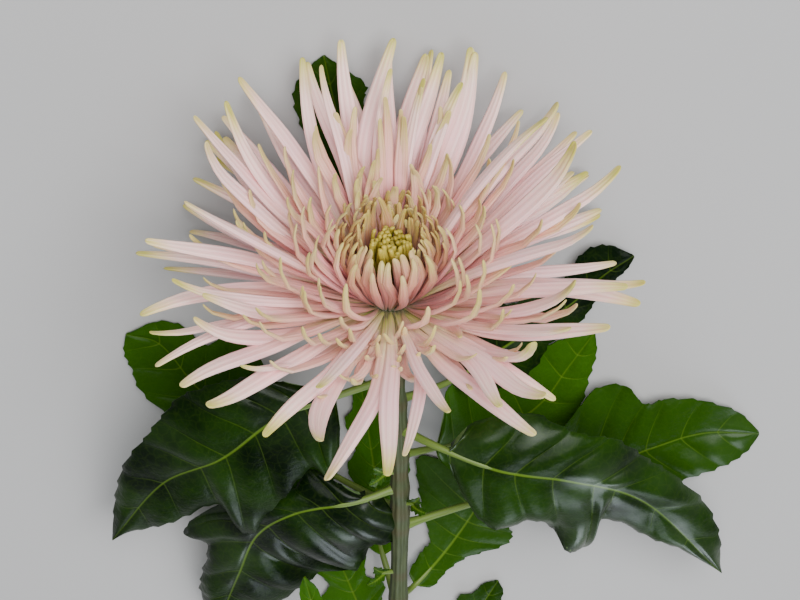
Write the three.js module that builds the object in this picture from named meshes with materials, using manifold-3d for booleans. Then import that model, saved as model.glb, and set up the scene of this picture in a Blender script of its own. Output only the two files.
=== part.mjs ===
// A spider chrysanthemum: one large bloom on a cut, leafy stem, laid down on a flat surface.
//
// Millimetres, +Z up. The origin is on the surface, under the small flat spot that the stem's cut end
// rests on. The stem runs from there towards -Y and rises to the bloom, which faces -Y and a little up.
//
// Two rules shape nearly everything. A floret is a flattened tube along a bowed line from the receptacle
// to its tip. A leaf is a thin blade between its midrib and two listed edges.
import * as THREE from "three";
import { mergeVertices } from "three/addons/utils/BufferGeometryUtils.js";
import Module from "manifold-3d";

// ---------------------------------------------------------------- driving dimensions

const FIT_GAP = 0.3; // left between neighbouring pieces

// Bloom
const BLOOM_BASE = new THREE.Vector3(2.7, -268, 46); // middle of the receptacle's underside
const BLOOM_RISE = 13; // degrees, how far the bloom's axis points above the surface
const RECEPTACLE_RADIUS = 7;
const RECEPTACLE_UNDER = 1; // the receptacle reaches this far below BLOOM_BASE
const RECEPTACLE_TOP = 2.6;
const ROOT_RADIUS = 5.6; // where steep florets stand; flat ones stand ROOT_SPREAD further out
const ROOT_SPREAD = 1.4;
const ROOT_SINK = 1; // length that a floret's root runs on below that
const CORE_RADIUS = 12; // the crowded roots are one ring-shaped core out to here
const CORE_HEIGHT = 7;
const DISC_RADIUS = 4.5; // disc that carries the centre florets
const DISC_HEIGHT = 1.2;
const KEEP_RADIUS = 4.9; // the centre florets stay inside this cone, the ray florets outside it
const KEEP_SPREAD = 0.12;
const RAY_FLOOR = 3; // lowest height of a ray floret's underside, clear of the leaves below it
const UNDERSIDE = 90; // azimuth of the bloom's underside, in degrees
const UPPER_SIDE = 270;
const MIDDLE_COUNT = 60;
const INNER_COUNT = 40;
const BUD_COUNT = 28;

// Involucre
const INVOLUCRE_DEPTH = 10;
const BRACTS = 13; // in each of the rings
const BRACT_RINGS = 3;

// Stem
const STEM_RADIUS = 2.7;
const STEM_BASE_RADIUS = 2.9;
const STEM_CUT_Y = 1.5; // the cut face stands just behind the origin
const STEM_FLAT = 0.6; // depth of the flat spot under the cut end
const STEM_STEPS = 38;
const STEM_SIDES = 8;
const NODE_SWELL = 0.5;
const NODE_LENGTH = 3.5;

// Leaves
const BLADE_THICK = 0.8;
const MIDRIB_DEEP = 0.8; // the midrib stands out this much under the blade
const PETIOLE_RADIUS = 1.3;
const TURN_STRETCH = 0.35; // share of the blade over which its midrib's direction is evened out
const HALF_BLADE = 20; // distance from the midrib at which a blade's lift and wave have their full height
const WAVES = 7; // half waves along a blade's edge

// Outer florets, one row each: azimuth and rise in degrees, reach, bow and sway in millimetres, width.
// Azimuth turns from the bloom's -X side over its underside, 90, to its upper side, 270.
// Rise is the angle above the receptacle's plane.
const OUTER_FLORETS = [
  // upper side, left
  [185, 23, 77, 0, -3, 5.0],
  [176, 11, 77, 2, 0, 4.8],
  [190, 39, 76, 0, 1, 4.8],
  [198, 13, 77, 3, -5, 5.6],
  [200, 22, 72, 1, 4, 3.8],
  [203, 9, 76, 1, -1, 3.8],
  [209, 8, 77, 4, -2, 4.2],
  [210, 18, 68, -6, 2, 5.2],
  [211, 28, 68, -6, -2, 4.6],
  [220, 10, 77, -1, -3, 6.0],
  [228, 8, 77, 0, 0, 6.0],
  [228, 18, 66, -8, 1, 4.4],
  // upper side, middle
  [240, 4, 70, 2, 2, 5.0],
  [250, 18, 62, 0, 1, 4.6],
  [255, 12, 77, -6, -6, 6.0],
  [257, 1, 77, 3, 5, 5.8],
  [269, 5, 77, 2, 1, 5.6],
  [273, 8, 74, 1, 6, 3.8],
  [284, 14, 68, 0, -1, 4.2],
  [297, 14, 70, -1, 4, 5.2],
  // upper side, right
  [302, 9, 77, -2, -3, 6.2],
  [306, 14, 76, -1, 0, 5.6],
  [311, 22, 66, -9, 4, 6.4],
  [315, 6, 66, 2, -2, 5.0],
  [323, 22, 68, -4, 0, 5.4],
  [329, 20, 76, -4, -3, 6.2],
  [333, 28, 67, -8, 2, 5.2],
  [341, 22, 76, -1, 2, 5.2],
  [343, 14, 77, 1, 7, 6.0],
  [344, 34, 74, 3, -1, 5.0],
  [355, 8, 76, 1, 2, 5.0],
  // underside, right
  [10, 43, 76, -3, -1, 6.2],
  [15, 25, 79, 2, -3, 5.6],
  [18, 52, 75, 5, -1, 5.0],
  [25, 33, 78, 1, -1, 4.8],
  [34, 38, 77, 2, 0, 6.2],
  [37, 8, 77, -2, -1, 4.6],
  [38, 22, 77, -1, 0, 5.0],
  [45, 22, 77, 1, -4, 4.8],
  [61, 50, 68, 1, 3, 4.8],
  [62, 45, 78, -3, -1, 5.4],
  [56, 34, 77, 2, -2, 5.0],
  [65, 43, 79, 3, -3, 5.8],
  // underside, middle
  [77, 48, 74, -4, 5, 5.6],
  [74, 54, 67, 1, 3, 3.8],
  [70, 44, 71, 0, 0, 4.6],
  [81, 22, 77, 4, 2, 4.8],
  [89, 47, 78, 2, 8, 5.4],
  [90, 54, 69, 0, 4, 3.6],
  [90, 26, 77, 3, 1, 4.6],
  [105, 22, 77, 3, 2, 4.6],
  [106, 46, 79, 0, 2, 5.0],
  [118, 18, 77, 1, 2, 4.6],
  // underside, left
  [118, 44, 77, -1, 6, 4.2],
  [117, 51, 73, 2, 2, 4.0],
  [134, 17, 77, -4, 4, 4.4],
  [137, 25, 77, -3, -1, 4.6],
  [141, 42, 80, -1, -5, 5.6],
  [143, 36, 77, -3, 4, 4.8],
  [153, 34, 80, -3, -1, 5.0],
  [162, 0, 77, -2, -2, 4.4],
  [170, 42, 76, -5, -2, 5.0],
];

// Where the stem runs, from its cut end to the bloom.
const STEM_ROUTE = [
  [0, STEM_CUT_Y, STEM_BASE_RADIUS - STEM_FLAT],
  [0.8, -45, 8],
  [1.5, -90, 15],
  [0.6, -135, 22.5],
  [0, -180, 30],
  [0.8, -222, 37],
];

// Leaves in order from the bloom down. `route` is the midrib's way from the middle of the stem to the tip,
// and `stalk` the share of it without a blade. `left` and `right` are the blade's edges, seen from above
// and looking to the tip: each point is a share of the blade's length and a distance out from the midrib.
// `rib` lists where on the midrib the side vein to each of those points starts. `lift` raises the edges
// and `wave` is the height of their waves.
const EVEN_RIB = [0, 0.1, 0.24, 0.36, 0.5, 0.6, 0.74, 0.87];

// The edge of an evenly lobed leaf of a given half-width.
const EVEN_LOBES = [
  [0.05, 0.55], [0.2, 1], [0.33, 0.68], [0.5, 1.05],
  [0.61, 0.62], [0.78, 0.85], [0.84, 0.5], [0.94, 0.35],
];
const evenEdge = (wide) => EVEN_LOBES.map(([share, out]) => [share, out * wide]);

const LEAVES = [
  {
    name: "leaf_01",
    route: [
      [2, -248, 42.4], [4, -254, 22], [9, -269, 6],
      [16, -292, 1.6], [20, -311, 1.2], [23, -327, 1.2],
    ],
    stalk: 0.24,
    rib: [0, 0.14, 0.28, 0.4, 0.52, 0.64, 0.76, 0.88],
    left: [[0.05, 7], [0.2, 12], [0.34, 9], [0.5, 12.5], [0.6, 9.5], [0.78, 12], [0.89, 11], [0.97, 4.5]],
    right: [[0.05, 7], [0.2, 12], [0.34, 9], [0.5, 12.5], [0.6, 9.5], [0.78, 9], [0.85, 10.5], [0.95, 4]],
    lift: 0,
    wave: 0,
  },
  {
    name: "leaf_02",
    route: [
      [2.4, -236, 39], [18, -234, 46], [37, -227, 48],
      [56, -208, 43], [75, -193, 34], [96, -159, 20],
    ],
    stalk: 0.15,
    rib: [0, 0.08, 0.15, 0.25, 0.38, 0.48, 0.64, 0.8],
    left: [[0.07, 16], [0.18, 30], [0.2, 22], [0.38, 25], [0.65, 35], [0.6, 19], [0.74, 14], [0.87, 8]],
    right: [[0.06, 8], [0.14, 16], [0.24, 21], [0.36, 24], [0.46, 21], [0.56, 16.5], [0.72, 12], [0.86, 7]],
    lift: -0.8,
    wave: 0.5,
  },
  {
    name: "leaf_03",
    route: [
      [1.4, -226, 37.4], [-16, -224, 23], [-36, -230, 9],
      [-55, -242, 5], [-65, -252, 4], [-74, -259, 4],
    ],
    stalk: 0.24,
    rib: [0, 0.12, 0.26, 0.38, 0.5, 0.62, 0.76, 0.88],
    left: [[0.04, 6], [0.18, 12], [0.36, 14], [0.46, 11], [0.6, 13], [0.67, 8.5], [0.85, 11], [0.95, 8]],
    right: [[0.04, 6], [0.2, 12], [0.36, 13], [0.47, 8], [0.62, 7], [0.73, 5], [0.84, 4], [0.93, 3]],
    lift: 0,
    wave: 0.5,
  },
  {
    name: "leaf_04",
    route: [
      [0.6, -215, 36], [-12, -213, 44], [-31, -207, 48],
      [-54, -200, 44], [-77, -186, 34], [-109, -142, 16],
    ],
    stalk: 0.13,
    rib: [0, 0.09, 0.17, 0.27, 0.39, 0.46, 0.62, 0.8],
    left: [[0.04, 12], [0.15, 19], [0.26, 17], [0.36, 17], [0.48, 12.5], [0.57, 12], [0.74, 12], [0.88, 8]],
    right: [[0.05, 11], [0.18, 26], [0.3, 23], [0.46, 30], [0.65, 35], [0.53, 15], [0.72, 10.5], [0.83, 6]],
    lift: -4,
    wave: 1.6,
  },
  {
    name: "leaf_05",
    route: [
      [0.2, -203, 34], [-16, -196, 18], [-34, -194, 6],
      [-47, -203, 3], [-55, -216, 2.4], [-63, -229, 2],
    ],
    stalk: 0.2,
    rib: [0, 0.1, 0.22, 0.34, 0.48, 0.6, 0.74, 0.87],
    left: [[0, 12], [-0.01, 25], [0.2, 30], [0.4, 23], [0.55, 21], [0.66, 16], [0.8, 12.5], [0.91, 7]],
    right: [[0.05, 7], [0.16, 12], [0.3, 11], [0.44, 13], [0.6, 12], [0.7, 11], [0.81, 8], [0.92, 5]],
    lift: 1,
    wave: 0.6,
  },
  {
    name: "leaf_06",
    route: [
      [0, -189, 31.6], [14, -186.5, 36.5], [33, -181.5, 35.5],
      [46, -170, 31], [54, -147.5, 24], [64, -112, 9],
    ],
    stalk: 0.1,
    rib: [0, 0.07, 0.14, 0.22, 0.34, 0.44, 0.6, 0.76],
    left: [[-0.04, 12], [-0.01, 22], [0.12, 28], [0.28, 37], [0.5, 40], [0.56, 27], [0.72, 22], [0.86, 13]],
    right: [[0.03, 3], [0.11, 14], [0.18, 8.5], [0.33, 10.5], [0.56, 22], [0.57, 13], [0.72, 11], [0.85, 9]],
    lift: -5,
    wave: 1,
  },
  {
    name: "leaf_07",
    route: [
      [0, -178, 29.8], [23, -181, 13], [48, -193, 4],
      [66, -207, 2], [79, -225, 1.3], [89, -228, 1.2],
    ],
    stalk: 0.24,
    rib: [0, 0.12, 0.26, 0.38, 0.5, 0.6, 0.74, 0.87],
    left: [[0.05, 10], [0.2, 18], [0.34, 14], [0.5, 18], [0.6, 14], [0.79, 16.5], [0.88, 13], [0.95, 8]],
    right: [[0.05, 9], [0.18, 15], [0.34, 13], [0.54, 24], [0.69, 23], [0.73, 13], [0.84, 10.5], [0.95, 7.5]],
    lift: 1,
    wave: 0.6,
  },
  {
    name: "leaf_08",
    route: [
      [0.1, -171, 28.6], [-24, -173, 19], [-53, -175, 10],
      [-80, -184, 5], [-101, -190, 2.4], [-120, -189, 1.2],
    ],
    stalk: 0.3,
    rib: [0, 0.1, 0.22, 0.34, 0.44, 0.56, 0.7, 0.84],
    left: [[0.04, 9], [0.19, 18], [0.39, 29], [0.54, 28.5], [0.59, 19], [0.66, 18], [0.79, 14], [0.92, 8.5]],
    right: [[0.05, 8], [0.18, 15], [0.32, 17], [0.42, 13], [0.54, 16.5], [0.7, 16], [0.84, 14], [0.94, 8.5]],
    lift: 1,
    wave: 0.8,
  },
  {
    name: "leaf_09",
    route: [
      [0.6, -137, 22.6], [-4, -129, 8], [-13, -137, 2.8],
      [-22, -151, 1.7], [-29, -165, 1.7], [-36, -180, 1.7],
    ],
    stalk: 0.25,
    rib: [0, 0.12, 0.25, 0.38, 0.5, 0.6, 0.74, 0.87],
    left: [[0.04, 5], [0.2, 7], [0.27, 7], [0.42, 15], [0.6, 22], [0.79, 27], [0.84, 16], [0.93, 8]],
    right: [[0.04, 5], [0.17, 5], [0.3, 8], [0.46, 16], [0.55, 16], [0.59, 13], [0.72, 14], [0.9, 8]],
    lift: 0,
    wave: 0,
  },
  {
    name: "leaf_10",
    route: [
      [0.7, -130, 21.6], [4, -134, 7], [8, -150, 2],
      [8, -167, 1.7], [10, -186, 1.7], [13, -211, 1.7],
    ],
    stalk: 0.25,
    rib: EVEN_RIB,
    left: evenEdge(8.5),
    right: evenEdge(11.6),
    lift: 0,
    wave: 0,
  },
  {
    name: "leaf_11",
    route: [
      [1.5, -93, 15.6], [8, -98, 6], [13, -112, 2],
      [17, -124, 1.7], [21, -136, 1.7], [25, -147, 1.7],
    ],
    stalk: 0.2,
    rib: EVEN_RIB,
    left: evenEdge(11),
    right: evenEdge(11),
    lift: 0,
    wave: 0,
  },
  {
    name: "leaf_12",
    route: [
      [1.4, -85, 14.2], [-9, -84, 6], [-18, -95, 2],
      [-24, -106, 1.7], [-29, -117, 1.7], [-34, -127, 1.7],
    ],
    stalk: 0.2,
    rib: EVEN_RIB,
    left: evenEdge(11),
    right: evenEdge(11),
    lift: 0,
    wave: 0,
  },
  {
    name: "leaf_13",
    route: [[1.2, -72, 12], [9, -87, 24], [17, -108, 33], [23, -128, 38], [28, -146, 41], [31, -160, 42]],
    stalk: 0.25,
    rib: EVEN_RIB,
    left: evenEdge(8),
    right: evenEdge(8),
    lift: 1,
    wave: 0,
  },
];

// Small shoots in the leaf axils: where they leave the stem, which way they point, and their length.
const SIDE_SHOOTS = [
  { name: "side_shoot_1", root: [0.3, -196, 32.8], way: [0.9, -0.25, 0.5], length: 10 },
  { name: "side_shoot_2", root: [0, -182, 30.4], way: [-0.9, -0.35, 0.6], length: 9 },
  { name: "side_shoot_3", root: [0.6, -150, 25], way: [0.85, -0.3, 0.55], length: 11 },
];

const COLOURS = {
  stem: "#7d9a63",
  bract: "#5d7f3f",
  ray: "#e2bfbf",
  centre: "#b9b04a",
  leaf: "#2f5a2a",
  shoot: "#5f8a3c",
};

// ---------------------------------------------------------------- small tools

const wasm = await Module();
wasm.setup();

let seed = 0;

// The next repeatable random number between 0 and 1.
function draw() {
  seed = (Math.imul(seed, 1664525) + 1013904223) >>> 0;
  return seed / 4294967296;
}

const degrees = (angle) => (angle * Math.PI) / 180;
const clamp = (value, low, high) => Math.min(high, Math.max(low, value));

// A closed BufferGeometry as a solid for joining and cutting.
function solidOf(geometry) {
  const bare = geometry.clone();
  bare.deleteAttribute("normal");
  bare.deleteAttribute("uv");
  const merged = mergeVertices(bare, 1e-4);
  return new wasm.Manifold(
    new wasm.Mesh({
      numProp: 3,
      vertProperties: merged.attributes.position.array,
      triVerts: new Uint32Array(merged.index.array),
    }),
  );
}

// Many solids joined into one, pair by pair.
function joined(solids) {
  let left = solids;
  while (left.length > 1) {
    const pairs = [];
    for (let i = 0; i < left.length; i += 2)
      pairs.push(i + 1 < left.length ? left[i].add(left[i + 1]) : left[i]);
    left = pairs;
  }
  return left[0];
}

// A joined or cut solid as a named mesh in its colour.
function meshOf(solid, name, colour, roughness) {
  const made = solid.getMesh();
  const corners = new Float32Array(made.numVert * 3);
  for (let i = 0; i < made.numVert; i++)
    corners.set(made.vertProperties.subarray(i * made.numProp, i * made.numProp + 3), i * 3);
  const geometry = new THREE.BufferGeometry();
  geometry.setAttribute("position", new THREE.BufferAttribute(corners, 3));
  geometry.setIndex(new THREE.BufferAttribute(made.triVerts, 1));
  geometry.computeVertexNormals();
  const material = new THREE.MeshStandardMaterial({ color: colour, roughness, metalness: 0 });
  const mesh = new THREE.Mesh(geometry, material);
  mesh.name = name;
  return mesh;
}

// A closed skin over rings of points that all have the same count, with a flat fan over each end.
function skin(rings) {
  const count = rings[0].length;
  const points = rings.flat();
  const faces = [];
  for (let i = 0; i + 1 < rings.length; i++)
    for (let k = 0; k < count; k++) {
      const a = i * count + k;
      const b = i * count + ((k + 1) % count);
      faces.push(a, b, b + count, a, b + count, a + count);
    }
  const last = (rings.length - 1) * count;
  for (let k = 1; k + 1 < count; k++) faces.push(0, k + 1, k, last, last + k, last + k + 1);
  const geometry = new THREE.BufferGeometry().setFromPoints(points);
  geometry.setIndex(faces);
  return geometry;
}

// Sideways and upward directions at each point of a line, turned as little as they can be.
function framesAlong(points, side) {
  return points.map((point, i) => {
    const ahead = points[Math.min(i + 1, points.length - 1)];
    const behind = points[Math.max(i - 1, 0)];
    const along = new THREE.Vector3().subVectors(ahead, behind).normalize();
    const across = side.clone().addScaledVector(along, -side.dot(along)).normalize();
    const up = new THREE.Vector3().crossVectors(along, across).normalize();
    return { along, across, up };
  });
}

// A tube along a line. Its section at each point is a list of [across, up] offsets in millimetres.
function tube(points, side, sectionAt) {
  const frames = framesAlong(points, side);
  return skin(
    points.map((point, i) =>
      sectionAt(i).map(([across, up]) =>
        point.clone().addScaledVector(frames[i].across, across).addScaledVector(frames[i].up, up),
      ),
    ),
  );
}

// A round section with the given number of sides.
const round = (radius, sides) =>
  Array.from({ length: sides }, (_, k) => {
    const turn = (2 * Math.PI * k) / sides;
    return [radius * Math.cos(turn), radius * Math.sin(turn)];
  });

const vector = ([x, y, z]) => new THREE.Vector3(x, y, z);
const UPWARD = new THREE.Vector3(0, 0, 1);

// ---------------------------------------------------------------- the bloom's own directions

const tilt = degrees(BLOOM_RISE);
const BLOOM_AXIS = new THREE.Vector3(0, -Math.cos(tilt), Math.sin(tilt));
const BLOOM_SIDE = new THREE.Vector3(-1, 0, 0);
const BLOOM_UNDER = new THREE.Vector3(0, -Math.sin(tilt), -Math.cos(tilt));

// A point of the bloom's own frame (side, under, along the axis) in the part's frame.
function bloomPoint(side, under, height) {
  return BLOOM_BASE.clone()
    .addScaledVector(BLOOM_SIDE, side)
    .addScaledVector(BLOOM_UNDER, under)
    .addScaledVector(BLOOM_AXIS, height);
}

// A turned body round the bloom's axis from a list of [radius, height], with an optional ripple.
function turned(profile, sides, ripple = () => 0) {
  return skin(
    profile.map(([radius, height], ring) =>
      Array.from({ length: sides }, (_, k) => {
        const turn = (2 * Math.PI * k) / sides;
        const wide = radius + ripple(ring, k);
        return bloomPoint(wide * Math.cos(turn), wide * Math.sin(turn), height);
      }),
    ),
  );
}

// ---------------------------------------------------------------- florets

const GOLDEN_TURN = 137.50776405;

const floret = (azimuth, rise, reach, bow, sway, hook, width) => {
  return { azimuth, rise, reach, bow, sway, hook, width };
};

// 1 at an azimuth, falling off to both sides of it like a bell.
const nearness = (azimuth, middle, spread) => Math.exp(-Math.pow((azimuth - middle) / spread, 2));

// The long outer florets, with a small hook drawn for each tip.
function outerFlorets() {
  seed = 11;
  return OUTER_FLORETS.map(([azimuth, rise, reach, bow, sway, width]) =>
    floret(azimuth, rise, reach, bow, sway, draw() * 6 - 1.5, width),
  );
}

// Long florets on the underside, spread like a fan where the bloom lies on the surface.
function underFlorets() {
  seed = 23;
  const count = 16;
  return Array.from({ length: count }, (_, k) => {
    const azimuth = 22 + (138 * k) / (count - 1) + (draw() - 0.5) * 5;
    const rise = -8 + ((k * 7) % 3) * 9 + (draw() - 0.5) * 5;
    const reach = 72 + 6 * draw();
    const bow = 2 * draw();
    const sway = (draw() - 0.5) * 6;
    return floret(azimuth, rise, reach, bow, sway, 2 * draw(), 4.4 + 1.4 * draw());
  });
}

// Middle florets: turned by the golden angle, shorter, steeper and narrower towards the centre. On the
// upper side they lie low, which opens the front of the head, and on the underside they stand up in front
// of the outer ones.
function middleFlorets() {
  seed = 37;
  return Array.from({ length: MIDDLE_COUNT }, (_, k) => {
    const inward = k / (MIDDLE_COUNT - 1);
    const azimuth = (k * GOLDEN_TURN + 41) % 360;
    let rise = 10 + 46 * Math.pow(inward, 0.9) + (draw() - 0.5) * 8;
    let reach = 64 - 30 * inward + (draw() - 0.5) * 12;
    const front = nearness(azimuth, UPPER_SIDE, 38);
    const back = nearness(azimuth, UNDERSIDE, 75);
    rise += (66 - rise) * 0.75 * back;
    reach -= 8 * back * Math.min(1, 2 * inward);
    if (rise < 58) rise *= 1 - 0.8 * front;
    if (rise < 30) reach *= 1 - 0.35 * front;
    const bow = -1.5 - 2 * draw() + 5 * back;
    const sway = (draw() - 0.5) * 7;
    const width = (2.8 + 1.3 * draw()) * (1 - 0.2 * inward);
    return floret(azimuth, rise, reach, bow, sway, 3 + 4 * draw(), width);
  });
}

// Inner florets: short and steep, and hooked in over the centre. They are a little longer on the underside
// and a third wider on the upper side.
function innerFlorets() {
  seed = 53;
  return Array.from({ length: INNER_COUNT }, (_, k) => {
    const inward = k / (INNER_COUNT - 1);
    const azimuth = (k * GOLDEN_TURN + 90) % 360;
    const back = nearness(azimuth, UNDERSIDE, 75);
    const rise = 54 + 14 * inward + 5 * back + (draw() - 0.5) * 9;
    const reach = 30 - 4 * inward + 5 * back + (draw() - 0.5) * 5;
    const sway = (draw() - 0.5) * 4;
    const hook = 2.5 + 2.5 * draw();
    const width = (2.3 + 0.6 * draw()) * (1 + 0.35 * nearness(azimuth, UPPER_SIDE, 50));
    return floret(azimuth, rise, reach, -1.5 + inward, sway, hook, width);
  });
}

// Centre florets: little upright buds packed by the golden angle.
function centreFlorets() {
  seed = 71;
  return Array.from({ length: BUD_COUNT }, (_, k) => {
    const outward = Math.sqrt((k + 0.5) / BUD_COUNT);
    const azimuth = (k * GOLDEN_TURN + 10) % 360;
    return floret(azimuth, 90 - 15 * outward, 24 + outward + (draw() - 0.5) * 3, -0.6, 0, 0.8, 1.7);
  });
}

// Points along a floret. The line runs straight from its root to its tip, bowed out by `bow` and `sway`
// at mid-length and hooked at the end. It is kept outside or inside the cone round the centre, and
// above `floor`. A floret that points below the floor keeps its length and lies along it.
function floretLine(one, shares, keepInside, floor) {
  const azimuth = degrees(one.azimuth);
  const rise = degrees(one.rise);
  const flat = Math.cos(Math.max(rise, 0));
  const rootRadius = keepInside ? DISC_RADIUS * 0.9 * Math.cos(rise) * 3 : ROOT_RADIUS + ROOT_SPREAD * flat;
  const rootHeight = keepInside ? RECEPTACLE_TOP + FIT_GAP + DISC_HEIGHT : 1 + 1.6 * (1 - flat * flat);
  const root = bloomPoint(rootRadius * Math.cos(azimuth), rootRadius * Math.sin(azimuth), rootHeight);
  const tip = bloomPoint(
    one.reach * Math.cos(rise) * Math.cos(azimuth),
    one.reach * Math.cos(rise) * Math.sin(azimuth),
    one.reach * Math.sin(rise),
  );
  if (tip.z < floor) {
    const length = tip.distanceTo(root);
    const drop = floor - root.z;
    const level = new THREE.Vector3(tip.x - root.x, tip.y - root.y, 0).normalize();
    tip.copy(root).addScaledVector(level, Math.sqrt(Math.max(length * length - drop * drop, 1)));
    tip.z = floor;
  }
  const chord = new THREE.Vector3().subVectors(tip, root);
  const along = chord.clone().normalize();
  const side = new THREE.Vector3().crossVectors(BLOOM_AXIS, along).normalize();
  const up = new THREE.Vector3().crossVectors(along, side);
  const line = shares.map((share) => {
    const arch = 4 * share * (1 - share);
    const curl = Math.pow(clamp((share - 0.78) / 0.22, 0, 1), 2);
    const point = root.clone().addScaledVector(chord, share);
    point.addScaledVector(up, one.bow * Math.max(arch, 0) + one.hook * curl);
    point.addScaledVector(side, one.sway * Math.max(arch, 0));
    point.z = Math.max(point.z, floor);
    return keepClear(point, one.width, keepInside);
  });
  return { line, side };
}

// Moves a point away from or towards the bloom's axis, to its own side of the cone round the centre.
function keepClear(point, width, keepInside) {
  const from = new THREE.Vector3().subVectors(point, BLOOM_BASE);
  const height = from.dot(BLOOM_AXIS);
  const out = from.addScaledVector(BLOOM_AXIS, -height);
  const radius = out.length();
  if (height < RECEPTACLE_TOP || radius < 1e-6) return point;
  const cone = KEEP_RADIUS + KEEP_SPREAD * (height - RECEPTACLE_TOP);
  const limit = keepInside ? cone - FIT_GAP - width / 2 : cone + width / 2;
  const wrong = keepInside ? radius > limit : radius < limit;
  return wrong ? point.addScaledVector(out.normalize(), limit - radius) : point;
}

// A floret's width at a share of its length: narrow at the root, widest at two thirds, blunt at the tip.
function floretSwell(share) {
  if (share < 0.66) return 0.26 + 0.74 * Math.sin((clamp(share, 0, 1) / 0.66) * (Math.PI / 2));
  const past = (share - 0.66) / 0.34;
  return 1 - 0.6 * Math.pow(past, 1.6);
}

// One floret as a solid: a flattened tube, with its root sunk into what carries it.
function floretSolid(one, shares, thick, keepInside = false) {
  const half = (one.width * thick) / 2;
  const { line, side } = floretLine(one, shares, keepInside, RAY_FLOOR + half);
  const first = line[0].clone().sub(line[1]).normalize();
  line.unshift(line[0].clone().addScaledVector(first, ROOT_SINK * (keepInside ? 0.4 : 1)));
  const widths = [floretSwell(0), ...shares.map(floretSwell)];
  const section = (i) => {
    const wide = (one.width * widths[i]) / 2;
    const deep = wide * thick;
    return [[wide, deep * 0.6], [-wide, deep * 0.6], [0, -deep]];
  };
  return solidOf(tube(line, side, section));
}

const FULL_SHARES = [0, 0.35, 0.75, 1];
const SHORT_SHARES = [0, 0.45, 0.8, 1];
const BUD_SHARES = [0, 0.55, 1];

// The receptacle with every ray floret fused to it.
function rayFlorets() {
  const receptacle = turned(
    [
      [RECEPTACLE_RADIUS * 0.85, -RECEPTACLE_UNDER],
      [CORE_RADIUS, RECEPTACLE_UNDER / 2],
      [CORE_RADIUS, CORE_HEIGHT * 0.4],
      [CORE_RADIUS * 0.8, CORE_HEIGHT * 0.9],
      [KEEP_RADIUS * 1.25, CORE_HEIGHT],
      [KEEP_RADIUS * 1.05, RECEPTACLE_TOP],
    ],
    14,
  );
  const long = [...outerFlorets(), ...underFlorets()].map((one) => floretSolid(one, FULL_SHARES, 0.5));
  const middle = middleFlorets().map((one) => floretSolid(one, SHORT_SHARES, 0.5));
  const inner = innerFlorets().map((one) => floretSolid(one, SHORT_SHARES, 0.6));
  const body = joined([solidOf(receptacle), ...long, ...middle, ...inner]);
  return meshOf(largest(body), "ray_florets", COLOURS.ray, 0.6);
}

// The disc in the middle of the head with the small buds fused to it.
function centre() {
  const low = RECEPTACLE_TOP + FIT_GAP;
  const disc = turned(
    [
      [DISC_RADIUS, low],
      [DISC_RADIUS, low + DISC_HEIGHT * 0.5],
      [DISC_RADIUS * 0.8, low + DISC_HEIGHT],
    ],
    12,
  );
  const buds = centreFlorets().map((one) => floretSolid(one, BUD_SHARES, 0.8, true));
  return meshOf(largest(joined([solidOf(disc), ...buds])), "centre_florets", COLOURS.centre, 0.6);
}

// The biggest of a solid's separate bodies.
function largest(solid) {
  return solid.decompose().reduce((best, body) => (body.volume() > best.volume() ? body : best));
}

// ---------------------------------------------------------------- involucre and stem

// The green cup under the bloom: rings of overlapping bracts, raised as ripples that stand out at the
// top edge of each ring.
function involucre() {
  const sides = BRACTS * 2;
  const top = -RECEPTACLE_UNDER - FIT_GAP;
  const profile = [];
  const lifts = [];
  for (let ring = 0; ring <= BRACT_RINGS * 2; ring++) {
    const share = ring / (BRACT_RINGS * 2);
    const radius = 3.4 + 4 * Math.sin((share * Math.PI) / 2);
    profile.push([radius, -INVOLUCRE_DEPTH + (INVOLUCRE_DEPTH + top) * share]);
    lifts.push(ring % 2 === 0 && ring > 0 ? 0.5 : 0.1);
  }
  const ripple = (ring, k) => ((k + Math.floor(ring / 2)) % 2 === 0 ? lifts[ring] : -lifts[ring] * 0.5);
  return meshOf(solidOf(turned(profile, sides, ripple)), "involucre", COLOURS.bract, 0.7);
}

// Points of the stem's middle line, from the cut end to just under the involucre.
function stemLine(steps) {
  const end = bloomPoint(0, 0, -INVOLUCRE_DEPTH - FIT_GAP);
  const before = bloomPoint(0, 0, -INVOLUCRE_DEPTH - 8);
  const curve = new THREE.CatmullRomCurve3([...STEM_ROUTE.map(vector), before, end]);
  return curve.getSpacedPoints(steps);
}

// The stem, a little fatter at its foot and swollen at each leaf. `extra` widens it for cutting seats.
function stemSolid(extra, steps, sides) {
  const points = stemLine(steps);
  const roots = LEAVES.map((leaf) => leaf.route[0][1]);
  const section = (i) => {
    const share = i / steps;
    const swell = roots.reduce(
      (sum, y) => sum + Math.exp(-Math.pow((points[i].y - y) / NODE_LENGTH, 2)),
      0,
    );
    const radius = STEM_BASE_RADIUS + (STEM_RADIUS - STEM_BASE_RADIUS) * share;
    return round(radius + NODE_SWELL * Math.min(swell, 1) + extra, sides);
  };
  return solidOf(tube(points, new THREE.Vector3(1, 0, 0), section));
}

function stem() {
  const block = new THREE.BoxGeometry(40, 40, 20);
  block.translate(0, 0, -10);
  return meshOf(stemSolid(0, STEM_STEPS, STEM_SIDES).subtract(solidOf(block)), "stem", COLOURS.stem, 0.6);
}

// ---------------------------------------------------------------- leaves

// Direction of the midrib at a share of the blade, taken over a long stretch so that it turns slowly.
function bladeDirection(curve, stalk, share) {
  const at = (part) => curve.getPointAt(stalk + (1 - stalk) * clamp(part, 0, 1));
  return at(share + TURN_STRETCH).sub(at(share - TURN_STRETCH)).normalize();
}

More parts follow.
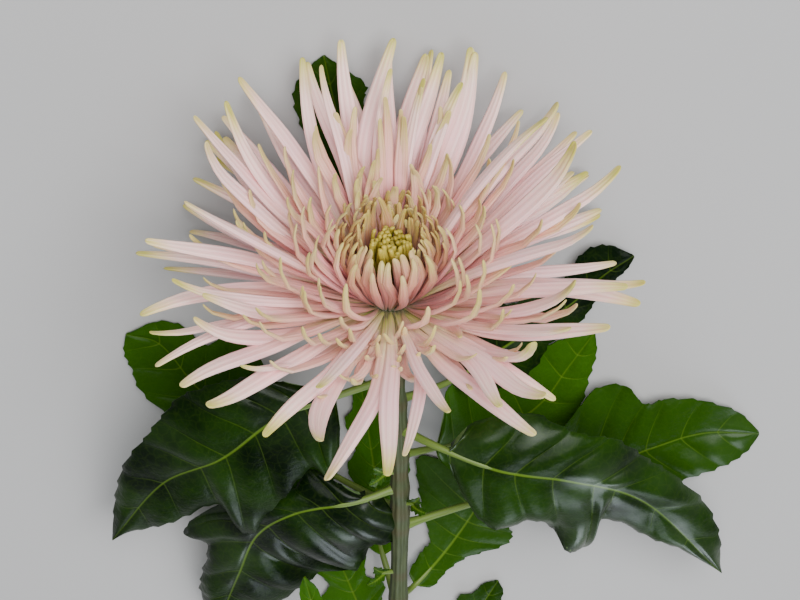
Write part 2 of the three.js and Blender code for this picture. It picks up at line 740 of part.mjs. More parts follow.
// The point of a blade at a share of its length, `out` millimetres to the right of the midrib. The blade
// is lifted and waved the more, the further out it is.
function bladePoint(leaf, curve, share, out) {
  const inside = clamp(share, 0, 1);
  const along = bladeDirection(curve, leaf.stalk, inside);
  const right = new THREE.Vector3().crossVectors(along, UPWARD).normalize();
  const point = curve.getPointAt(leaf.stalk + (1 - leaf.stalk) * inside);
  point.addScaledVector(along, (share - inside) * (1 - leaf.stalk) * curve.getLength());
  point.addScaledVector(right, out);
  const far = Math.abs(out) / HALF_BLADE;
  const ripple = Math.sin(WAVES * Math.PI * share + (out < 0 ? 1 : 2.4));
  point.z += leaf.lift * Math.pow(far, 1.5) + leaf.wave * ripple * far * far;
  return point;
}

const ACROSS = [-1, -0.55, 0, 0.55, 1]; // shares of a side vein, from the left edge to the right one
const FOOT_HALF = 1.5; // half-width of a blade where it meets the stalk
const TIP_EDGE = [1, 0.6];

// An edge with its foot and its tip. A blade may reach back beside its stalk.
const wholeEdge = (edge) => [[Math.min(0, edge[0][0]), FOOT_HALF], ...edge, TIP_EDGE];

// A blade's middle surface as rows of points, each from the left edge over the midrib to the right edge.
function bladeRows(leaf) {
  const curve = new THREE.CatmullRomCurve3(leaf.route.map(vector));
  const rib = [0, ...leaf.rib, 1];
  const left = wholeEdge(leaf.left);
  const right = wholeEdge(leaf.right);
  return rib.map((start, i) => {
    const points = ACROSS.map((place) => {
      const [share, out] = place < 0 ? left[i] : right[i];
      const part = Math.abs(place);
      return bladePoint(leaf, curve, start + (share - start) * part, Math.sign(place) * out * part);
    });
    const along = bladeDirection(curve, leaf.stalk, start);
    const across = new THREE.Vector3().crossVectors(along, UPWARD).normalize();
    return { points, up: new THREE.Vector3().crossVectors(across, along) };
  });
}

// A blade as a solid: the rows raised and lowered by half its thickness, with the midrib under it.
function bladeSolid(leaf) {
  const rows = bladeRows(leaf);
  const middle = (ACROSS.length - 1) / 2;
  const rings = rows.map(({ points, up }) => {
    const top = points.map((point) => point.clone().addScaledVector(up, BLADE_THICK / 2));
    const under = points.map((point, k) => {
      const low = point.clone().addScaledVector(up, -BLADE_THICK / 2 - (k === middle ? MIDRIB_DEEP : 0));
      low.z = Math.max(low.z, 0);
      return low;
    });
    return [...top, ...under.reverse()];
  });
  return solidOf(bladeSkin(rings));
}

// A closed skin over blade rings, whose upper and lower faces are split along the same diagonals.
function bladeSkin(rings) {
  const count = rings[0].length;
  const half = count / 2;
  const faces = [];
  for (let i = 0; i + 1 < rings.length; i++)
    for (let k = 0; k < count; k++) {
      const a = i * count + k;
      const b = i * count + ((k + 1) % count);
      if (k < half - 1) faces.push(a, b, a + count, b, b + count, a + count);
      else faces.push(a, b, b + count, a, b + count, a + count);
    }
  const last = (rings.length - 1) * count;
  for (let k = 0; k < half - 1; k++) {
    const p = k;
    const q = k + 1;
    const r = count - 1 - k;
    const s = count - 2 - k;
    faces.push(p, s, q, p, r, s);
    faces.push(last + p, last + q, last + s, last + p, last + s, last + r);
  }
  const geometry = new THREE.BufferGeometry().setFromPoints(rings.flat());
  geometry.setIndex(faces);
  return geometry;
}

// A leaf's stalk: a tapering tube from the middle of the stem to a little way under the blade.
function stalkSolid(leaf) {
  const curve = new THREE.CatmullRomCurve3(leaf.route.map(vector));
  const steps = 5;
  const end = leaf.stalk + 0.1;
  const points = Array.from({ length: steps + 1 }, (_, i) => curve.getPointAt((end * i) / steps));
  points.forEach((point) => {
    point.z -= 0.35;
  });
  const side = new THREE.Vector3().subVectors(points[steps], points[0]).cross(UPWARD).normalize();
  return solidOf(tube(points, side, (i) => round(PETIOLE_RADIUS * (1.1 - (0.45 * i) / steps), 5)));
}

function leafMesh(leaf, stemSeat) {
  const body = bladeSolid(leaf).add(stalkSolid(leaf)).subtract(stemSeat);
  return meshOf(largest(body), leaf.name, COLOURS.leaf, 0.45);
}

// A side shoot: a short stalk that carries two small folded leaves.
function sideShoot(shoot, stemSeat) {
  const root = vector(shoot.root);
  const way = vector(shoot.way).normalize();
  const level = new THREE.Vector3().crossVectors(way, UPWARD).normalize();
  const stalkEnd = root.clone().addScaledVector(way, shoot.length * 0.65);
  const stalk = tube([root, root.clone().lerp(stalkEnd, 0.5), stalkEnd], level, () => round(0.9, 6));
  let body = solidOf(stalk);
  for (const turn of [-0.55, 0.5]) {
    const heading = way.clone().applyAxisAngle(level, 0.2).addScaledVector(level, turn).normalize();
    const side = new THREE.Vector3().crossVectors(heading, UPWARD).normalize();
    const start = root.clone().addScaledVector(way, shoot.length * 0.5);
    const along = (share) => start.clone().addScaledVector(heading, share * shoot.length * 0.7);
    const line = [0, 0.35, 0.7, 1].map(along);
    const half = [0.7, 2.2, 1.7, 0.5];
    body = body.add(solidOf(tube(line, side, (i) => [[half[i], 0.3], [0, 0.7], [-half[i], 0.3], [0, -0.6]])));
  }
  return meshOf(largest(body.subtract(stemSeat)), shoot.name, COLOURS.shoot, 0.5);
}

// ---------------------------------------------------------------- the flower

const chrysanthemum = new THREE.Group();
chrysanthemum.name = "spider_chrysanthemum";

const bloom = new THREE.Group();
bloom.add(rayFlorets(), centre(), involucre());

const stemSeat = stemSolid(FIT_GAP, STEM_STEPS, STEM_SIDES);
const leafyStem = new THREE.Group();
leafyStem.add(stem());
for (const leaf of LEAVES) leafyStem.add(leafMesh(leaf, stemSeat));
for (const shoot of SIDE_SHOOTS) leafyStem.add(sideShoot(shoot, stemSeat));

chrysanthemum.add(bloom, leafyStem);

export default chrysanthemum;
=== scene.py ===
"""One spider chrysanthemum: a large bloom of tube-shaped florets on a cut, leafy stem, laid on a table.

Every piece is a surface over two parameters, worked out as whole numpy arrays in millimetres, in the
part's own frame: the origin is on the table under the stem's cut end, the stem runs towards -Y, and the
bloom faces -Y and a little up. A floret is a flattened tube along a bowed line, and a leaf is a thin
blade between its midrib and its two edges. `make_piece` scales them to metres.
"""

import math
from collections import namedtuple

import bpy
import numpy as np
from mathutils import Matrix, Vector


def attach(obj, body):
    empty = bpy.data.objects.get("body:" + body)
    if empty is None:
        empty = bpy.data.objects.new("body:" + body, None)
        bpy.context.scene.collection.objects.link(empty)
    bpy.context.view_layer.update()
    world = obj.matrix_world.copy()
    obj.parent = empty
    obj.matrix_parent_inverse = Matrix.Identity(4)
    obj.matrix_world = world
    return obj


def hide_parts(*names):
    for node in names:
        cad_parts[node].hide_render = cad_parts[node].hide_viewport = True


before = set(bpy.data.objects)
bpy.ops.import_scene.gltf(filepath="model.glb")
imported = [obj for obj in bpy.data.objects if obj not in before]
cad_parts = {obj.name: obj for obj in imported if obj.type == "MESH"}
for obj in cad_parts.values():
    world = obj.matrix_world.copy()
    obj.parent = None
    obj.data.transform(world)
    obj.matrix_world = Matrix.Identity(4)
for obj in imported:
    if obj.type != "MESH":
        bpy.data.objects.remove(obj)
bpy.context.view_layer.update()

MILLIMETRE = 0.001

# ---------------------------------------------------------------- dimensions, most of them the solid part's

BLOOM_BASE = np.array([2.7, -268.0, 46.0])
BLOOM_RISE = math.radians(13)
AXIS = np.array([0.0, -math.cos(BLOOM_RISE), math.sin(BLOOM_RISE)])
SIDE = np.array([-1.0, 0.0, 0.0])
UNDER = np.array([0.0, -math.sin(BLOOM_RISE), -math.cos(BLOOM_RISE)])
UPWARD = np.array([0.0, 0.0, 1.0])
UNDERSIDE = 90.0  # azimuths round the bloom's axis, in degrees
UPPER_SIDE = 270.0

FIT_GAP = 0.3
RECEPTACLE_TOP = 2.6
RECEPTACLE_UNDER = 1.0
ROOT_RADIUS = 5.6
ROOT_SPREAD = 1.4
BUD_SPREAD = 2.7  # a bud on its side would have its root at this many radii of the disc
HOOK_START = 0.78  # as shares of a floret's length
WIDEST = 0.66
BARE_SPREAD = 38.0  # degrees to each side of UPPER_SIDE
DISC_RADIUS = 4.5
DISC_HEIGHT = 1.2
KEEP_RADIUS = 4.9
KEEP_SPREAD = 0.12
RAY_FLOOR = 3.0
INVOLUCRE_DEPTH = 10.0
BRACTS_IN_RING = 13
STEM_RADIUS = 2.7
STEM_BASE_RADIUS = 2.9
STEM_CUT_Y = 1.5
STEM_FLAT = 0.6
PETIOLE_RADIUS = 1.3
TURN_STRETCH = 0.35  # share of the blade to each side that its direction is taken over
HALF_BLADE = 20.0
WAVES = 7
TABLE_GAP = 0.02
FLORET_RIDGES = 8
STEM_RIBS = 10
LARGE_LEAVES = 9  # the first ones in LEAVES, with the longer teeth
UNDER_COUNT = 16
GOLDEN_TURN = 137.50776405
PHASE_TURN = 6.28

# A floret: azimuth and rise in degrees, then reach, bow, sway, the hook of its tip and its width in mm.
Floret = namedtuple("Floret", "azimuth rise reach bow sway hook width")

# The long outer florets: azimuth, rise, reach, bow, sway and width.
OUTER_FLORETS = [
    [185, 23, 77, 0, -3, 5.0], [176, 11, 77, 2, 0, 4.8], [190, 39, 76, 0, 1, 4.8],
    [198, 13, 77, 3, -5, 5.6], [200, 22, 72, 1, 4, 3.8], [203, 9, 76, 1, -1, 3.8], [209, 8, 77, 4, -2, 4.2],
    [210, 18, 68, -6, 2, 5.2], [211, 28, 68, -6, -2, 4.6], [220, 10, 77, -1, -3, 6.0],
    [228, 8, 77, 0, 0, 6.0], [228, 18, 66, -8, 1, 4.4], [240, 4, 70, 2, 2, 5.0], [250, 18, 62, 0, 1, 4.6],
    [255, 12, 77, -6, -6, 6.0], [257, 1, 77, 3, 5, 5.8], [269, 5, 77, 2, 1, 5.6], [273, 8, 74, 1, 6, 3.8],
    [284, 14, 68, 0, -1, 4.2], [297, 14, 70, -1, 4, 5.2], [302, 9, 77, -2, -3, 6.2],
    [306, 14, 76, -1, 0, 5.6], [311, 22, 66, -9, 4, 6.4], [315, 6, 66, 2, -2, 5.0],
    [323, 22, 68, -4, 0, 5.4], [329, 20, 76, -4, -3, 6.2], [333, 28, 67, -8, 2, 5.2],
    [341, 22, 76, -1, 2, 5.2], [343, 14, 77, 1, 7, 6.0], [344, 34, 74, 3, -1, 5.0], [355, 8, 76, 1, 2, 5.0],
    [10, 43, 76, -3, -1, 6.2], [15, 25, 79, 2, -3, 5.6], [18, 52, 75, 5, -1, 5.0], [25, 33, 78, 1, -1, 4.8],
    [34, 38, 77, 2, 0, 6.2], [37, 8, 77, -2, -1, 4.6], [38, 22, 77, -1, 0, 5.0], [45, 22, 77, 1, -4, 4.8],
    [61, 50, 68, 1, 3, 4.8], [62, 45, 78, -3, -1, 5.4], [56, 34, 77, 2, -2, 5.0], [65, 43, 79, 3, -3, 5.8],
    [77, 48, 74, -4, 5, 5.6], [74, 54, 67, 1, 3, 3.8], [70, 44, 71, 0, 0, 4.6], [81, 22, 77, 4, 2, 4.8],
    [89, 47, 78, 2, 8, 5.4], [90, 54, 69, 0, 4, 3.6], [90, 26, 77, 3, 1, 4.6], [105, 22, 77, 3, 2, 4.6],
    [106, 46, 79, 0, 2, 5.0], [118, 18, 77, 1, 2, 4.6], [118, 44, 77, -1, 6, 4.2], [117, 51, 73, 2, 2, 4.0],
    [134, 17, 77, -4, 4, 4.4], [137, 25, 77, -3, -1, 4.6], [141, 42, 80, -1, -5, 5.6],
    [143, 36, 77, -3, 4, 4.8], [153, 34, 80, -3, -1, 5.0], [162, 0, 77, -2, -2, 4.4],
    [170, 42, 76, -5, -2, 5.0],
]

# Points on the stem's middle line, from its cut end on. The bloom's axis ends it.
STEM_ROUTE = [
    [0, STEM_CUT_Y, STEM_BASE_RADIUS - STEM_FLAT], [0.8, -45, 8], [1.5, -90, 15],
    [0.6, -135, 22.5], [0, -180, 30], [0.8, -222, 37],
]

EVEN_RIB = [0, 0.1, 0.24, 0.36, 0.5, 0.6, 0.74, 0.87]


def even_edge(wide):
    """The edge of an evenly lobed leaf: fixed shares of the blade's length, and `wide` times fixed widths."""
    shares = [0.05, 0.2, 0.33, 0.5, 0.61, 0.78, 0.84, 0.94]
    widths = [0.55, 1, 0.68, 1.05, 0.62, 0.85, 0.5, 0.35]
    return [[share, wide * width] for share, width in zip(shares, widths)]


# Each leaf: midrib route from the stem to the tip, share without a blade, where its side veins start,
# its left and right edges as [share of the blade, distance out], lift and wave, and how bright its green is,
# partly the leaf's own colour and partly painted light shining through a back-lit leaf.
LEAVES = {
    "leaf_01": dict(
        route=[[2, -248, 42.4], [4, -254, 22], [9, -269, 6], [16, -292, 1.6],
               [20, -311, 1.2], [23, -327, 1.2]],
        stalk=0.24, rib=[0, 0.14, 0.28, 0.4, 0.52, 0.64, 0.76, 0.88],
        left=[[0.05, 7], [0.2, 12], [0.34, 9], [0.5, 12.5], [0.6, 9.5], [0.78, 12], [0.89, 11], [0.97, 4.5]],
        right=[[0.05, 7], [0.2, 12], [0.34, 9], [0.5, 12.5], [0.6, 9.5], [0.78, 9], [0.85, 10.5], [0.95, 4]],
        lift=0, wave=0, bright=0.35),
    "leaf_02": dict(
        route=[[2.4, -236, 39], [18, -234, 46], [37, -227, 48], [56, -208, 43],
               [75, -193, 34], [96, -159, 20]],
        stalk=0.15, rib=[0, 0.08, 0.15, 0.25, 0.38, 0.48, 0.64, 0.8],
        left=[[0.07, 16], [0.18, 30], [0.2, 22], [0.38, 25], [0.65, 35], [0.6, 19], [0.74, 14], [0.87, 8]],
        right=[[0.06, 8], [0.14, 16], [0.24, 21], [0.36, 24], [0.46, 21], [0.56, 16.5],
               [0.72, 12], [0.86, 7]],
        lift=-0.8, wave=0.5, bright=0.12),
    "leaf_03": dict(
        route=[[1.4, -226, 37.4], [-16, -224, 23], [-36, -230, 9], [-55, -242, 5],
               [-65, -252, 4], [-74, -259, 4]],
        stalk=0.24, rib=[0, 0.12, 0.26, 0.38, 0.5, 0.62, 0.76, 0.88],
        left=[[0.04, 6], [0.18, 12], [0.36, 14], [0.46, 11], [0.6, 13], [0.67, 8.5], [0.85, 11], [0.95, 8]],
        right=[[0.04, 6], [0.2, 12], [0.36, 13], [0.47, 8], [0.62, 7], [0.73, 5], [0.84, 4], [0.93, 3]],
        lift=0, wave=0.5, bright=0.1),
    "leaf_04": dict(
        route=[[0.6, -215, 36], [-12, -213, 44], [-31, -207, 48], [-54, -200, 44], [-77, -186, 34],
               [-109, -142, 16]],
        stalk=0.13, rib=[0, 0.09, 0.17, 0.27, 0.39, 0.46, 0.62, 0.8],
        left=[[0.04, 12], [0.15, 19], [0.26, 17], [0.36, 17], [0.48, 12.5], [0.57, 12],
              [0.74, 12], [0.88, 8]],
        right=[[0.05, 11], [0.18, 26], [0.3, 23], [0.46, 30], [0.65, 35], [0.53, 15],
               [0.72, 10.5], [0.83, 6]],
        lift=-4, wave=1.6, bright=0.2),
    "leaf_05": dict(
        route=[[0.2, -203, 34], [-16, -196, 18], [-34, -194, 6], [-47, -203, 3],
               [-55, -216, 2.4], [-63, -229, 2]],
        stalk=0.2, rib=[0, 0.1, 0.22, 0.34, 0.48, 0.6, 0.74, 0.87],
        left=[[0, 12], [-0.01, 25], [0.2, 30], [0.4, 23], [0.55, 21], [0.66, 16], [0.8, 12.5], [0.91, 7]],
        right=[[0.05, 7], [0.16, 12], [0.3, 11], [0.44, 13], [0.6, 12], [0.7, 11], [0.81, 8], [0.92, 5]],
        lift=1, wave=0.6, bright=0.78),
    "leaf_06": dict(
        route=[[0, -189, 31.6], [14, -186.5, 36.5], [33, -181.5, 35.5], [46, -170, 31], [54, -147.5, 24],
               [64, -112, 9]],
        stalk=0.1, rib=[0, 0.07, 0.14, 0.22, 0.34, 0.44, 0.6, 0.76],
        left=[[-0.04, 12], [-0.01, 22], [0.12, 28], [0.28, 37], [0.5, 40], [0.56, 27],
              [0.72, 22], [0.86, 13]],
        right=[[0.03, 3], [0.11, 14], [0.18, 8.5], [0.33, 10.5], [0.56, 22], [0.57, 13],
               [0.72, 11], [0.85, 9]],
        lift=-5, wave=1, bright=0.05),
    "leaf_07": dict(
        route=[[0, -178, 29.8], [23, -181, 13], [48, -193, 4], [66, -207, 2],
               [79, -225, 1.3], [89, -228, 1.2]],
        stalk=0.24, rib=[0, 0.12, 0.26, 0.38, 0.5, 0.6, 0.74, 0.87],
        left=[[0.05, 10], [0.2, 18], [0.34, 14], [0.5, 18], [0.6, 14], [0.79, 16.5], [0.88, 13], [0.95, 8]],
        right=[[0.05, 9], [0.18, 15], [0.34, 13], [0.54, 24], [0.69, 23], [0.73, 13],
               [0.84, 10.5], [0.95, 7.5]],
        lift=1, wave=0.6, bright=0.66),
    "leaf_08": dict(
        route=[[0.1, -171, 28.6], [-24, -173, 19], [-53, -175, 10], [-80, -184, 5], [-101, -190, 2.4],
               [-120, -189, 1.2]],
        stalk=0.3, rib=[0, 0.1, 0.22, 0.34, 0.44, 0.56, 0.7, 0.84],
        left=[[0.04, 9], [0.19, 18], [0.39, 29], [0.54, 28.5], [0.59, 19], [0.66, 18],
              [0.79, 14], [0.92, 8.5]],
        right=[[0.05, 8], [0.18, 15], [0.32, 17], [0.42, 13], [0.54, 16.5], [0.7, 16],
               [0.84, 14], [0.94, 8.5]],
        lift=1, wave=0.8, bright=0.45),
    "leaf_09": dict(
        route=[[0.6, -137, 22.6], [-4, -129, 8], [-13, -137, 2.8], [-22, -151, 1.7], [-29, -165, 1.7],
               [-36, -180, 1.7]],
        stalk=0.25, rib=[0, 0.12, 0.25, 0.38, 0.5, 0.6, 0.74, 0.87],
        left=[[0.04, 5], [0.2, 7], [0.27, 7], [0.42, 15], [0.6, 22], [0.79, 27], [0.84, 16], [0.93, 8]],
        right=[[0.04, 5], [0.17, 5], [0.3, 8], [0.46, 16], [0.55, 16], [0.59, 13], [0.72, 14], [0.9, 8]],
        lift=0, wave=0, bright=0.55),
    "leaf_10": dict(
        route=[[0.7, -130, 21.6], [4, -134, 7], [8, -150, 2], [8, -167, 1.7],
               [10, -186, 1.7], [13, -211, 1.7]],
        stalk=0.25, rib=EVEN_RIB, left=even_edge(8.5), right=even_edge(11.6), lift=0, wave=0, bright=0.95),
    "leaf_11": dict(
        route=[[1.5, -93, 15.6], [8, -98, 6], [13, -112, 2], [17, -124, 1.7],
               [21, -136, 1.7], [25, -147, 1.7]],
        stalk=0.2, rib=EVEN_RIB, left=even_edge(11), right=even_edge(11), lift=0, wave=0, bright=1.0),
    "leaf_12": dict(
        route=[[1.4, -85, 14.2], [-9, -84, 6], [-18, -95, 2], [-24, -106, 1.7], [-29, -117, 1.7],
               [-34, -127, 1.7]],
        stalk=0.2, rib=EVEN_RIB, left=even_edge(11), right=even_edge(11), lift=0, wave=0, bright=0.3),
    "leaf_13": dict(
        route=[[1.2, -72, 12], [9, -87, 24], [17, -108, 33], [23, -128, 38], [28, -146, 41], [31, -160, 42]],
        stalk=0.25, rib=EVEN_RIB, left=even_edge(8), right=even_edge(8), lift=1, wave=0, bright=0.8),
}

# Each side shoot: where it leaves the middle of the stem, its direction and its length.
SIDE_SHOOTS = {
    "side_shoot_1": dict(root=[0.3, -196, 32.8], way=[0.9, -0.25, 0.5], length=10),
    "side_shoot_2": dict(root=[0, -182, 30.4], way=[-0.9, -0.35, 0.6], length=9),
    "side_shoot_3": dict(root=[0.6, -150, 25], way=[0.85, -0.3, 0.55], length=11),
}

# How far the skin swells between the veins, how far the edge bends down, and the gloss, where not as usual.
QUILT = {"leaf_02": 1.1, "leaf_04": 1.3, "leaf_06": 1.3, "leaf_08": 1.0, "leaf_05": 0.7, "leaf_07": 0.8}
CURL = {"leaf_02": 1.6, "leaf_04": 2.0, "leaf_06": 2.2}
SHINE = {"leaf_04": 1.6, "leaf_06": 1.05, "leaf_07": 1.3}

# The finishes' numbers in a leaf's piece.
LEAF_TOP, LEAF_BACK, STALK = range(3)

# ---------------------------------------------------------------- small tools


class Draws:
    """Repeatable random numbers from 0 to 1: seed times 1664525 plus 1013904223, modulo 2 to the 32."""

    def __init__(self, seed):
        self.seed = seed

    def __call__(self, low=0.0, high=1.0):
        self.seed = (self.seed * 1664525 + 1013904223) % 2**32
        return low + (high - low) * self.seed / 2**32


def unit(vectors):
    """Vectors divided by their lengths."""
    return vectors / np.maximum(np.linalg.norm(vectors, axis=-1, keepdims=True), 1e-12)


def dot(a, b):
    """Dot products along the last axis, which is kept."""
    return np.sum(a * b, axis=-1, keepdims=True)


def smooth(low, high, values):
    """0 below low, 1 above high, and 3t^2 - 2t^3 between them."""
    share = np.clip((np.asarray(values, float) - low) / (high - low), 0, 1)
    return share * share * (3 - 2 * share)


def bell(values, middle, spread):
    """1 at the middle and falling to both sides: e to the minus square of the distance over the spread."""
    return np.exp(-(((values - middle) / spread) ** 2))


def turns(around):
    """The evenly spaced angles of a whole turn."""
    return 2 * np.pi * np.arange(around) / around


def bloom_point(side, under, height):
    """base + side * SIDE + under * UNDER + height * AXIS, for arrays of equal shape."""
    side, under, height = np.broadcast_arrays(side, under, height)
    return BLOOM_BASE + side[..., None] * SIDE + under[..., None] * UNDER + height[..., None] * AXIS


class Curve:
    """A smooth line through points: cubic pieces whose knots stand the square root of a chord apart.

    `at(share)` gives the points at shares of its length.
    """

    def __init__(self, points, fineness=120):
        points = np.array(points, float)
        knots = np.concatenate([2 * points[:1] - points[1:2], points, 2 * points[-1:] - points[-2:-1]])
        t = np.linspace(0, 1, fineness, endpoint=False)[:, None]
        pieces = []
        for before, start, end, after in zip(knots, knots[1:], knots[2:], knots[3:]):
            lead, span, trail = (
                max(np.linalg.norm(far - near) ** 0.5, 1e-4)
                for near, far in ((before, start), (start, end), (end, after))
            )
            leave = (start - before) / lead - (end - before) / (lead + span) + (end - start) / span
            arrive = (end - start) / span - (after - start) / (span + trail) + (after - end) / trail
            leave, arrive = leave * span, arrive * span
            pieces.append(
                start + leave * t + (3 * (end - start) - 2 * leave - arrive) * t**2
                + (2 * (start - end) + leave + arrive) * t**3
            )
        self.points = np.concatenate(pieces + [points[-1:]])
        steps = np.linalg.norm(np.diff(self.points, axis=0), axis=1)
        self.lengths = np.concatenate([[0], np.cumsum(steps)])
        self.length = self.lengths[-1]

    def at(self, share):
        where = np.clip(share, 0, 1) * self.length
        return np.stack([np.interp(where, self.lengths, self.points[:, k]) for k in range(3)], -1)


def frames_along(line, side):
    """Directions along lines of points, and the two directions across them.

    along is the difference of the neighbouring points, across is `side` less its share along the line,
    and up is along x across. line is (lines, points, 3) and side is (lines, 3).
    """
    ahead = np.concatenate([line[:, 1:], line[:, -1:]], 1)
    behind = np.concatenate([line[:, :1], line[:, :-1]], 1)
    along = unit(ahead - behind)
    side = side[:, None, :]
    across = unit(side - dot(side, along) * along)
    return along, across, np.cross(along, across)


def rings_round(line, across, up, x, y):
    """A ring of points round each point of some lines: the point + x * across + y * up.

    line, across and up are (lines, points, 3). x and y are (lines, points, places round), or do for all
    lines as (points, places round).
    """
    return line[:, :, None] + x[..., None] * across[:, :, None] + y[..., None] * up[:, :, None]


def rod_rings(line, side, radius, angle, squeeze=1.0):
    """Rings round one line at the given angles, with the radius of each ring or of each place on it.

    `squeeze` is the share of the radius that is left upwards and downwards.
    """
    _, across, up = frames_along(line[None], side[None])
    return rings_round(line[None], across, up, radius * np.cos(angle), radius * np.sin(angle) * squeeze)


# Closed surfaces waiting to be one piece: points, faces, face corners' UV, the number of the finish in the
# piece, for all faces or for each of them, and values at the points.
Shell = namedtuple("Shell", "points faces corners finish values")


def tube_shell(rings, finish=0, shares=None, flat_ends=False, **values):
    """Closed tubes from rings of points, (tubes, rings, points round, 3).

    Faces join each ring to the next. The ends are closed by one face each, or, for a blade, whose ring
    goes out over the top and back underneath, by a strip of faces from top to bottom. UV is the share
    round the ring and the share along the tube: `shares` gives it for each ring, evenly spaced if left out.
    """
    tubes, count, around, _ = rings.shape
    start = np.arange(tubes)[:, None, None] * count * around
    row = np.arange(count - 1)[None, :, None] * around
    turn = np.arange(around)[None, None, :]
    after = (turn + 1) % around
    a, b = start + row + turn, start + row + after
    faces = [np.stack([a, b, b + around, a + around], -1).reshape(-1, 4)]
    shares = np.linspace(0, 1, count) if shares is None else np.clip(shares, 0, 1)
    left, right, low, high = turn / around, (turn + 1) / around, shares[:-1, None], shares[1:, None]
    uv = np.stack(np.broadcast_arrays(left, low, right, low, right, high, left, high), -1)
    corners = [np.tile(uv.reshape(-1, 4, 2), (tubes, 1, 1))]
    foot = start[:, 0] + np.arange(around)[None, :]
    tip = foot + (count - 1) * around
    if flat_ends:
        over = np.arange(around // 2 - 1)
        back = around - 1 - over
        for ring, turned, share in ((foot, False, 0.0), (tip, True, 1.0)):
            strip = [ring[:, over], ring[:, back], ring[:, back - 1], ring[:, over + 1]]
            strip = np.stack(strip, -1).reshape(-1, 4)
            faces.append(strip[:, ::-1] if turned else strip)
            uv = np.stack([over / around, over * 0 + share] * 4, -1).reshape(-1, 4, 2)
            corners.append(np.tile(uv, (tubes, 1, 1)))
    else:
        for ring, share in ((foot[:, ::-1], 0.0), (tip, 1.0)):
            faces.append(ring)
            uv = np.stack([np.arange(around) / around, np.full(around, share)], -1)
            corners.append(np.broadcast_to(uv, (tubes, around, 2)))
    values = {name: np.broadcast_to(value, rings.shape[:-1]).reshape(-1) for name, value in values.items()}
    return Shell(rings.reshape(-1, 3), faces, corners, finish, values)


def make_piece(name, shells, finishes, stands_for, sharp=None):
    """One mesh object in metres from shells, with its finishes, riding on the part's one body.

    Edges that turn by more than `sharp` degrees are shaded as edges.
    """
    faces, corners, indices = [], [], []
    offset = 0
    for shell in shells:
        for group, uv in zip(shell.faces, shell.corners):
            faces += (group + offset).tolist()
            corners.append(uv.reshape(-1, 2))
            one_finish = np.isscalar(shell.finish)
            indices.append(np.full(len(group), shell.finish) if one_finish else shell.finish[: len(group)])
        offset += len(shell.points)
    points = np.concatenate([shell.points for shell in shells]) * MILLIMETRE
    mesh = bpy.data.meshes.new(name)
    mesh.from_pydata(points.tolist(), [], faces)
    layer = mesh.uv_layers.new(name="UVMap")
    layer.data.foreach_set("uv", np.concatenate(corners).astype(np.float32).reshape(-1))
    mesh.polygons.foreach_set("material_index", np.concatenate(indices).astype(np.int32))
    mesh.polygons.foreach_set("use_smooth", np.ones(len(faces), bool))
    for key in sorted({key for shell in shells for key in shell.values}):
        attribute = mesh.attributes.new(key, "FLOAT", "POINT")
        data = [shell.values.get(key, np.zeros(len(shell.points))) for shell in shells]
        attribute.data.foreach_set("value", np.concatenate(data).astype(np.float32))
    for finish in finishes:
        mesh.materials.append(finish)
    mesh.update()
    if sharp:
        mesh.set_sharp_from_angle(angle=math.radians(sharp))
    piece = bpy.data.objects.new(name, mesh)
    bpy.context.scene.collection.objects.link(piece)
    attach(piece, "root")
    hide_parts(stands_for)
    return piece


# ---------------------------------------------------------------- finishes


def tint(red, green, blue):
    """A colour as it shows on a screen, 0 to 255, in the linear values that a shader takes."""
    values = np.array([red, green, blue]) / 255
    linear = np.where(values <= 0.04045, values / 12.92, ((values + 0.055) / 1.055) ** 2.4)
    return tuple(linear.tolist()) + (1.0,)


def ramp_stops(*rows):
    """A ramp's stops from rows of place, red, green and blue."""
    return [(place, tint(*colour)) for place, *colour in rows]


class Wire:
    """A value inside a finish. Plain sums on wires and numbers add the Math nodes that work them out."""

    def __init__(self, finish, socket):
        self.finish, self.socket = finish, socket

    def __add__(self, other):
        return self.finish.maths("ADD", self, other)

    def __sub__(self, other):
        return self.finish.maths("SUBTRACT", self, other)

    def __rsub__(self, other):
        return self.finish.maths("SUBTRACT", other, self)

    def __mul__(self, other):
        return self.finish.maths("MULTIPLY", self, other)

    def __neg__(self):
        return self.finish.maths("MULTIPLY", self, -1.0)

    __radd__ = __add__
    __rmul__ = __mul__


